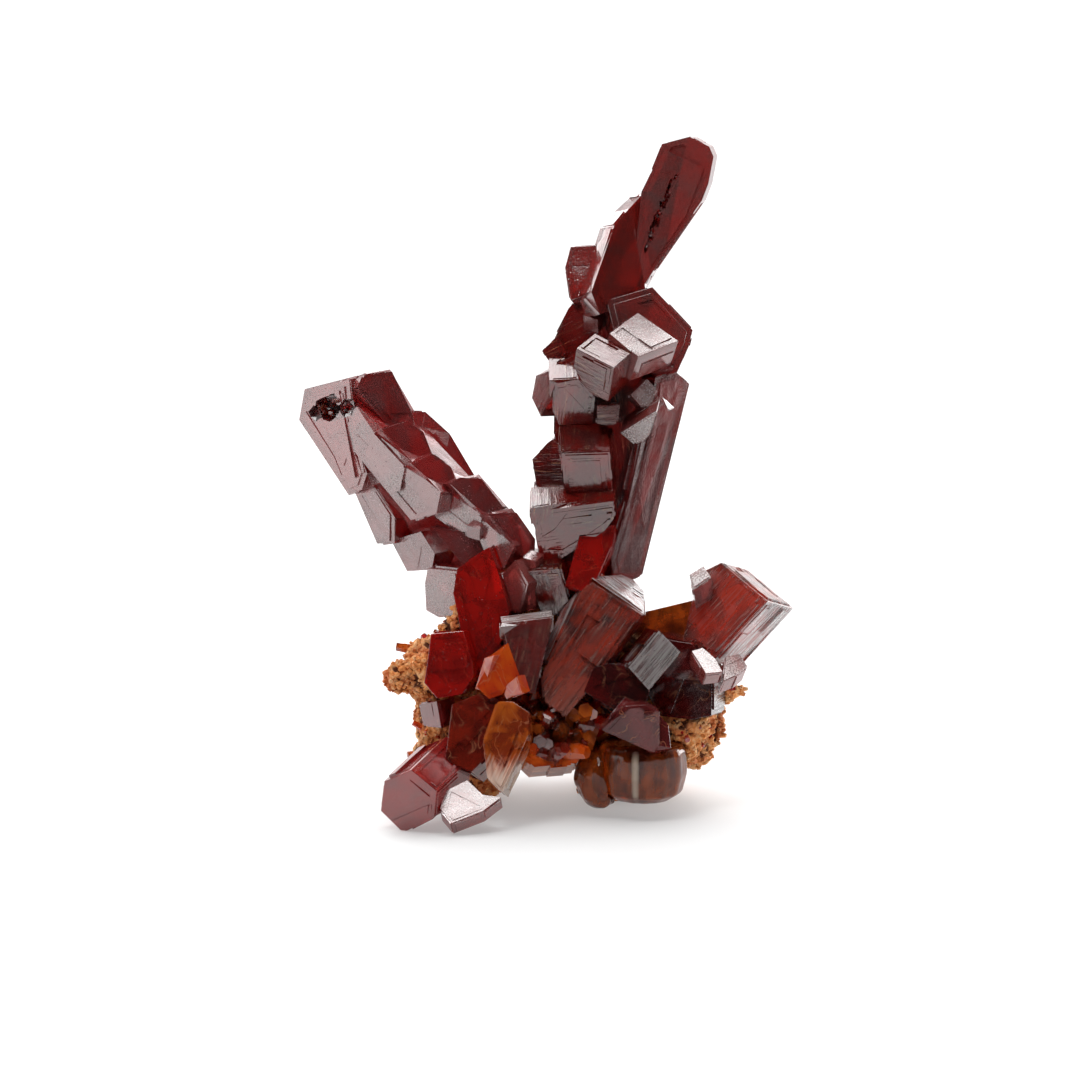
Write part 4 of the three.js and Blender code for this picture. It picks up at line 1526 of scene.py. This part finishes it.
@dataclass
class Druse:
    """Many small crystals, or crumbs of rock, that grow on one piece within a window of the front."""

    name: str
    finish: "CrystalFinish | RockFinish"
    window: tuple[float, float, float, float]
    count: int
    sizes: tuple[float, float]
    on: str = "matrix_rock"
    side: int = 1
    width: float = 0.5
    length: float = 1.1
    taper: float = 0.8
    sides: int = 6
    splay: float = 0.7
    seed: int = 1
    towards: tuple[float, float, float] | None = None

    def sites(self, front: Front, skin: Skin) -> bpy.types.Mesh:
        """The points that the crystals grow from, with their directions and sizes."""
        rng = random.Random(self.seed)
        places, growths, sizes = [], [], []
        x0, h0, x1, h1 = self.window
        for _ in range(self.count * TRIES):
            found = skin.hit(front, rng.uniform(x0, x1), rng.uniform(h0, h1), self.side)
            if found is None or found[2] != self.on:
                continue
            place, normal, _ = found
            low, high = self.sizes
            size = (low + (high - low) * rng.random() ** 2) * MM
            stray = Vector((rng.gauss(0, 1), rng.gauss(0, 1), rng.gauss(0, 1))) * self.splay * 0.5
            growth = (normal + stray).normalized()
            if self.towards is not None:
                right, up, out = self.towards
                growth = (front.right * right + front.up * up + front.out * out).normalized()
            if place.z < size or growth.dot(normal) < LEAST_RISE:
                continue
            places.append(place - growth * size * SUNK)
            growths.append(growth)
            sizes.append(size)
            if len(places) == self.count:
                break
        mesh = bpy.data.meshes.new(self.name)
        mesh.from_pydata(places, [], [])
        growth = mesh.attributes.new("growth", "FLOAT_VECTOR", "POINT")
        growth.data.foreach_set("vector", np.array(growths, np.float32).ravel())
        mark(mesh, "size", "POINT", sizes)
        return mesh

    def build(self, front: Front, skin: Skin, tree: GrowthTree) -> bpy.types.Object:
        """Grows the crystals and dresses them as one piece."""
        piece = object_of(self.name, self.sites(front, skin))
        material = self.finish.material()
        growth = piece.modifiers.new("growth", "NODES")
        growth.node_group = tree.tree
        values = {
            "Width": self.width,
            "Length": self.length,
            "Taper": self.taper,
            "Sides": self.sides,
            "Seed": self.seed,
            "Finish": material,
        }
        for name, value in values.items():
            growth[tree.identifiers[name]] = value
        piece.data = settled(piece)
        dress(piece, material, self.finish.slot)
        return piece


def druses() -> tuple[Druse, ...]:
    """The small crystals on the rock, on the amber floor crystal and in the arm's hollow, and crumbs."""
    floor = {
        "on": "amber_floor_crystal_crystal",
        "width": 0.42,
        "length": 0.85,
        "taper": 0.55,
        "splay": 2.0,
    }
    floor_front = (-3.4, 6.2, 2.4, 10.4)
    lit = {
        "width": 0.62,
        "length": 0.9,
        "taper": 1.0,
        "sides": 4,
        "splay": 0.0,
        "towards": (0.0, 0.839, 0.544),
    }
    arm = "left_arm_crystal"
    stack = "tower_stack_crystal"
    behind = (-13.0, 2.0, 13.0, 17.0)
    whole_rock = (-16.0, 1.0, 17.0, 18.0)
    crumb = {"width": 0.62, "length": 0.8, "taper": 0.6, "sides": 5, "splay": 1.4}
    grit = (0.12, 0.5)
    return (
        Druse("druse_red", BLOOD_RED, (-4.5, 4.5, 4.5, 12.5), 16, (0.9, 1.8), seed=1),
        Druse("druse_orange", ORANGE, (-6.0, 4.5, 5.5, 13.0), 14, (0.7, 1.4), seed=2),
        Druse("druse_amber", HONEY, (-2.5, 3.0, 7.0, 9.5), 24, (0.8, 1.8), seed=3),
        Druse("druse_floor", ORANGE, (-3.4, 6.4, 2.4, 10.4), 9, (1.2, 2.2), seed=11, **floor),
        Druse("druse_floor_brown", BROWN, floor_front, 24, (1.2, 2.6), seed=12, **floor),
        Druse("druse_floor_amber", AMBER, floor_front, 22, (1.2, 2.4), seed=13, **floor),
        Druse("lit_top_arm", PALE, (-6.7, 23.5, -6.2, 23.9), 1, (1.3, 1.3), arm, **lit),
        Druse("lit_top_low", PALE, (-2.2, 21.0, -1.8, 21.3), 1, (1.4, 1.4), stack, **lit),
        Druse("lit_top_high", PALE, (2.7, 40.2, 3.2, 40.6), 1, (1.5, 1.5), stack, **lit),
        Druse("druse_left", ORANGE, (-15.0, 5.0, -8.0, 16.0), 6, (0.2, 0.6), seed=4),
        Druse("druse_right", BLOOD_RED, (7.0, 5.0, 16.0, 13.0), 7, (0.25, 0.7), seed=5),
        Druse("druse_behind", BLOOD_RED, behind, 60, (0.4, 1.3), side=-1, seed=6),
        Druse("druse_behind_amber", HONEY, behind, 60, (0.4, 1.1), side=-1, seed=7),
        Druse("druse_hollow", BROWN, (-19.4, 32.9, -16.9, 34.5), 14, (0.3, 0.6), arm, seed=8),
        Druse("crumbs", IRONSTONE, whole_rock, 900, grit, seed=9, **crumb),
        Druse("crumbs_behind", IRONSTONE, whole_rock, 900, grit, side=-1, seed=10, **crumb),
    )


# ---------------------------------------------------------------- studio


@dataclass(frozen=True)
class SoftBox:
    """A square soft box: its place, the length of its side, and its glow, where lit white paper is 1."""

    name: str
    place: tuple[float, float, float]
    side: float
    glow: float


LAMPS_FACE = Vector((0.0, 0.0, 22 * MM))
SOFT_BOXES = (
    SoftBox("back_high", (0.0, 0.28, 0.24), 0.36, 3.4),
    SoftBox("top", (0.0, 0.0, 0.40), 0.40, 2.9),
    SoftBox("right_back", (0.29, 0.16, 0.05), 0.20, 5.6),
    SoftBox("left", (-0.30, -0.10, 0.01), 0.14, 1.8),
    SoftBox("left_back", (-0.22, 0.18, 0.11), 0.16, 2.6),
    SoftBox("right_front", (0.203, -0.409, 0.072), 0.06, 1.7),
    SoftBox("key", (-0.12, -0.18, 0.36), 0.09, 12.0),
)


@dataclass
class Studio:
    """Pale floor, soft boxes and the camera."""

    front: Front
    distance: float = 1.0
    frame_width: float = 86.4 * MM
    look_at: tuple[float, float] = (-1.6, 23.2)
    floor_radius: float = 0.15

    def build(self) -> None:
        """Makes the camera, the floor and the lights."""
        self.camera()
        self.floor()
        self.world()
        for box in SOFT_BOXES:
            self.lamp(box)

    def camera(self) -> None:
        """A long lens that looks at the specimen along its lean."""
        lens = bpy.data.cameras.new("camera")
        lens.sensor_width = 36.0
        lens.lens = lens.sensor_width * self.distance / self.frame_width
        lens.clip_end = 10.0
        camera = bpy.data.objects.new("camera", lens)
        bpy.context.scene.collection.objects.link(camera)
        target = self.front.point(*self.look_at)
        axes = Matrix((self.front.right, self.front.up, self.front.out)).transposed()
        camera.matrix_world = Matrix.Translation(target + self.front.out * self.distance) @ axes.to_4x4()
        bpy.context.scene.camera = camera

    def floor(self) -> None:
        """A wide pale floor."""
        bm = bmesh.new()
        bmesh.ops.create_circle(bm, cap_ends=True, segments=96, radius=self.floor_radius)
        floor = object_of("floor", mesh_from("floor", bm))
        t = ShaderTree(bpy.data.materials.new("pale_floor"))
        mottle = t.noise(t.place(), 0.02, 2.0).ramp(0.3, 0.7, 0.46, 0.50)
        colour = t.blend(mottle, (0.0, 0.0, 0.0), (1.0, 1.0, 1.0))
        surface = t.node(
            "ShaderNodeBsdfPrincipled",
            {},
            {
                "Base Color": colour,
                "Roughness": 0.9,
                "Emission Color": (1.0, 1.0, 1.0, 1.0),
                "Emission Strength": 0.32,
            },
        )
        floor.data.materials.append(t.finish(surface))
        floor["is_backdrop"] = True

    def world(self) -> None:
        """A soft surround, bright behind the specimen and dim in front of it."""
        t = ShaderTree(bpy.data.worlds.new("surround"))
        direction = t.node("ShaderNodeTexCoord", {}, {}, "Generated")
        depth = t.node("ShaderNodeSeparateXYZ", {}, {0: direction}, "Y")
        fade = {"Value": depth, "From Min": -0.2, "From Max": 0.7, "To Min": 0.02, "To Max": 1.2}
        seen = t.node("ShaderNodeLightPath", {}, {}, "Is Camera Ray")
        strength = t.node("ShaderNodeMapRange", {}, fade).maths("MAXIMUM", seen)
        light = {"Color": (1.0, 1.0, 1.0, 1.0), "Strength": strength}
        surface = t.node("ShaderNodeBackground", {}, light)
        bpy.context.scene.world = t.finish(surface, output="ShaderNodeOutputWorld")

    def lamp(self, box: SoftBox) -> None:
        """Puts up one soft box, turned to the specimen."""
        light = bpy.data.lights.new(box.name, "AREA")
        light.shape = "SQUARE"
        light.size = box.side
        light.energy = box.glow * math.pi * box.side**2
        lamp = bpy.data.objects.new(box.name, light)
        bpy.context.scene.collection.objects.link(lamp)
        lamp.location = box.place
        lamp.rotation_euler = (Vector(box.place) - LAMPS_FACE).to_track_quat("Z", "Y").to_euler()
        lamp.visible_camera = False


# ---------------------------------------------------------------- making it all


def main() -> None:
    """Builds the specimen and its studio."""
    logging.basicConfig(level=logging.INFO, format="%(name)s: %(message)s")
    low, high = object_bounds()
    front = Front(low, high)
    Studio(front).build()
    pieces = [Rock().build()]
    LOG.info("matrix: %s, %d faces", pieces[0].name, len(pieces[0].data.polygons))
    for group in (left_arm(), tower(), plume(), middle_and_right(), lower_front(), back()):
        pieces += group.build(front)
    skin = Skin(pieces)
    tree = druse_tree()
    for druse in druses():
        grown = druse.build(front, skin, tree)
        LOG.info("small growth: %s, %d faces", grown.name, len(grown.data.polygons))
    scene = bpy.context.scene
    scene.view_settings.view_transform = "Standard"


if __name__ == "__main__":
    main()
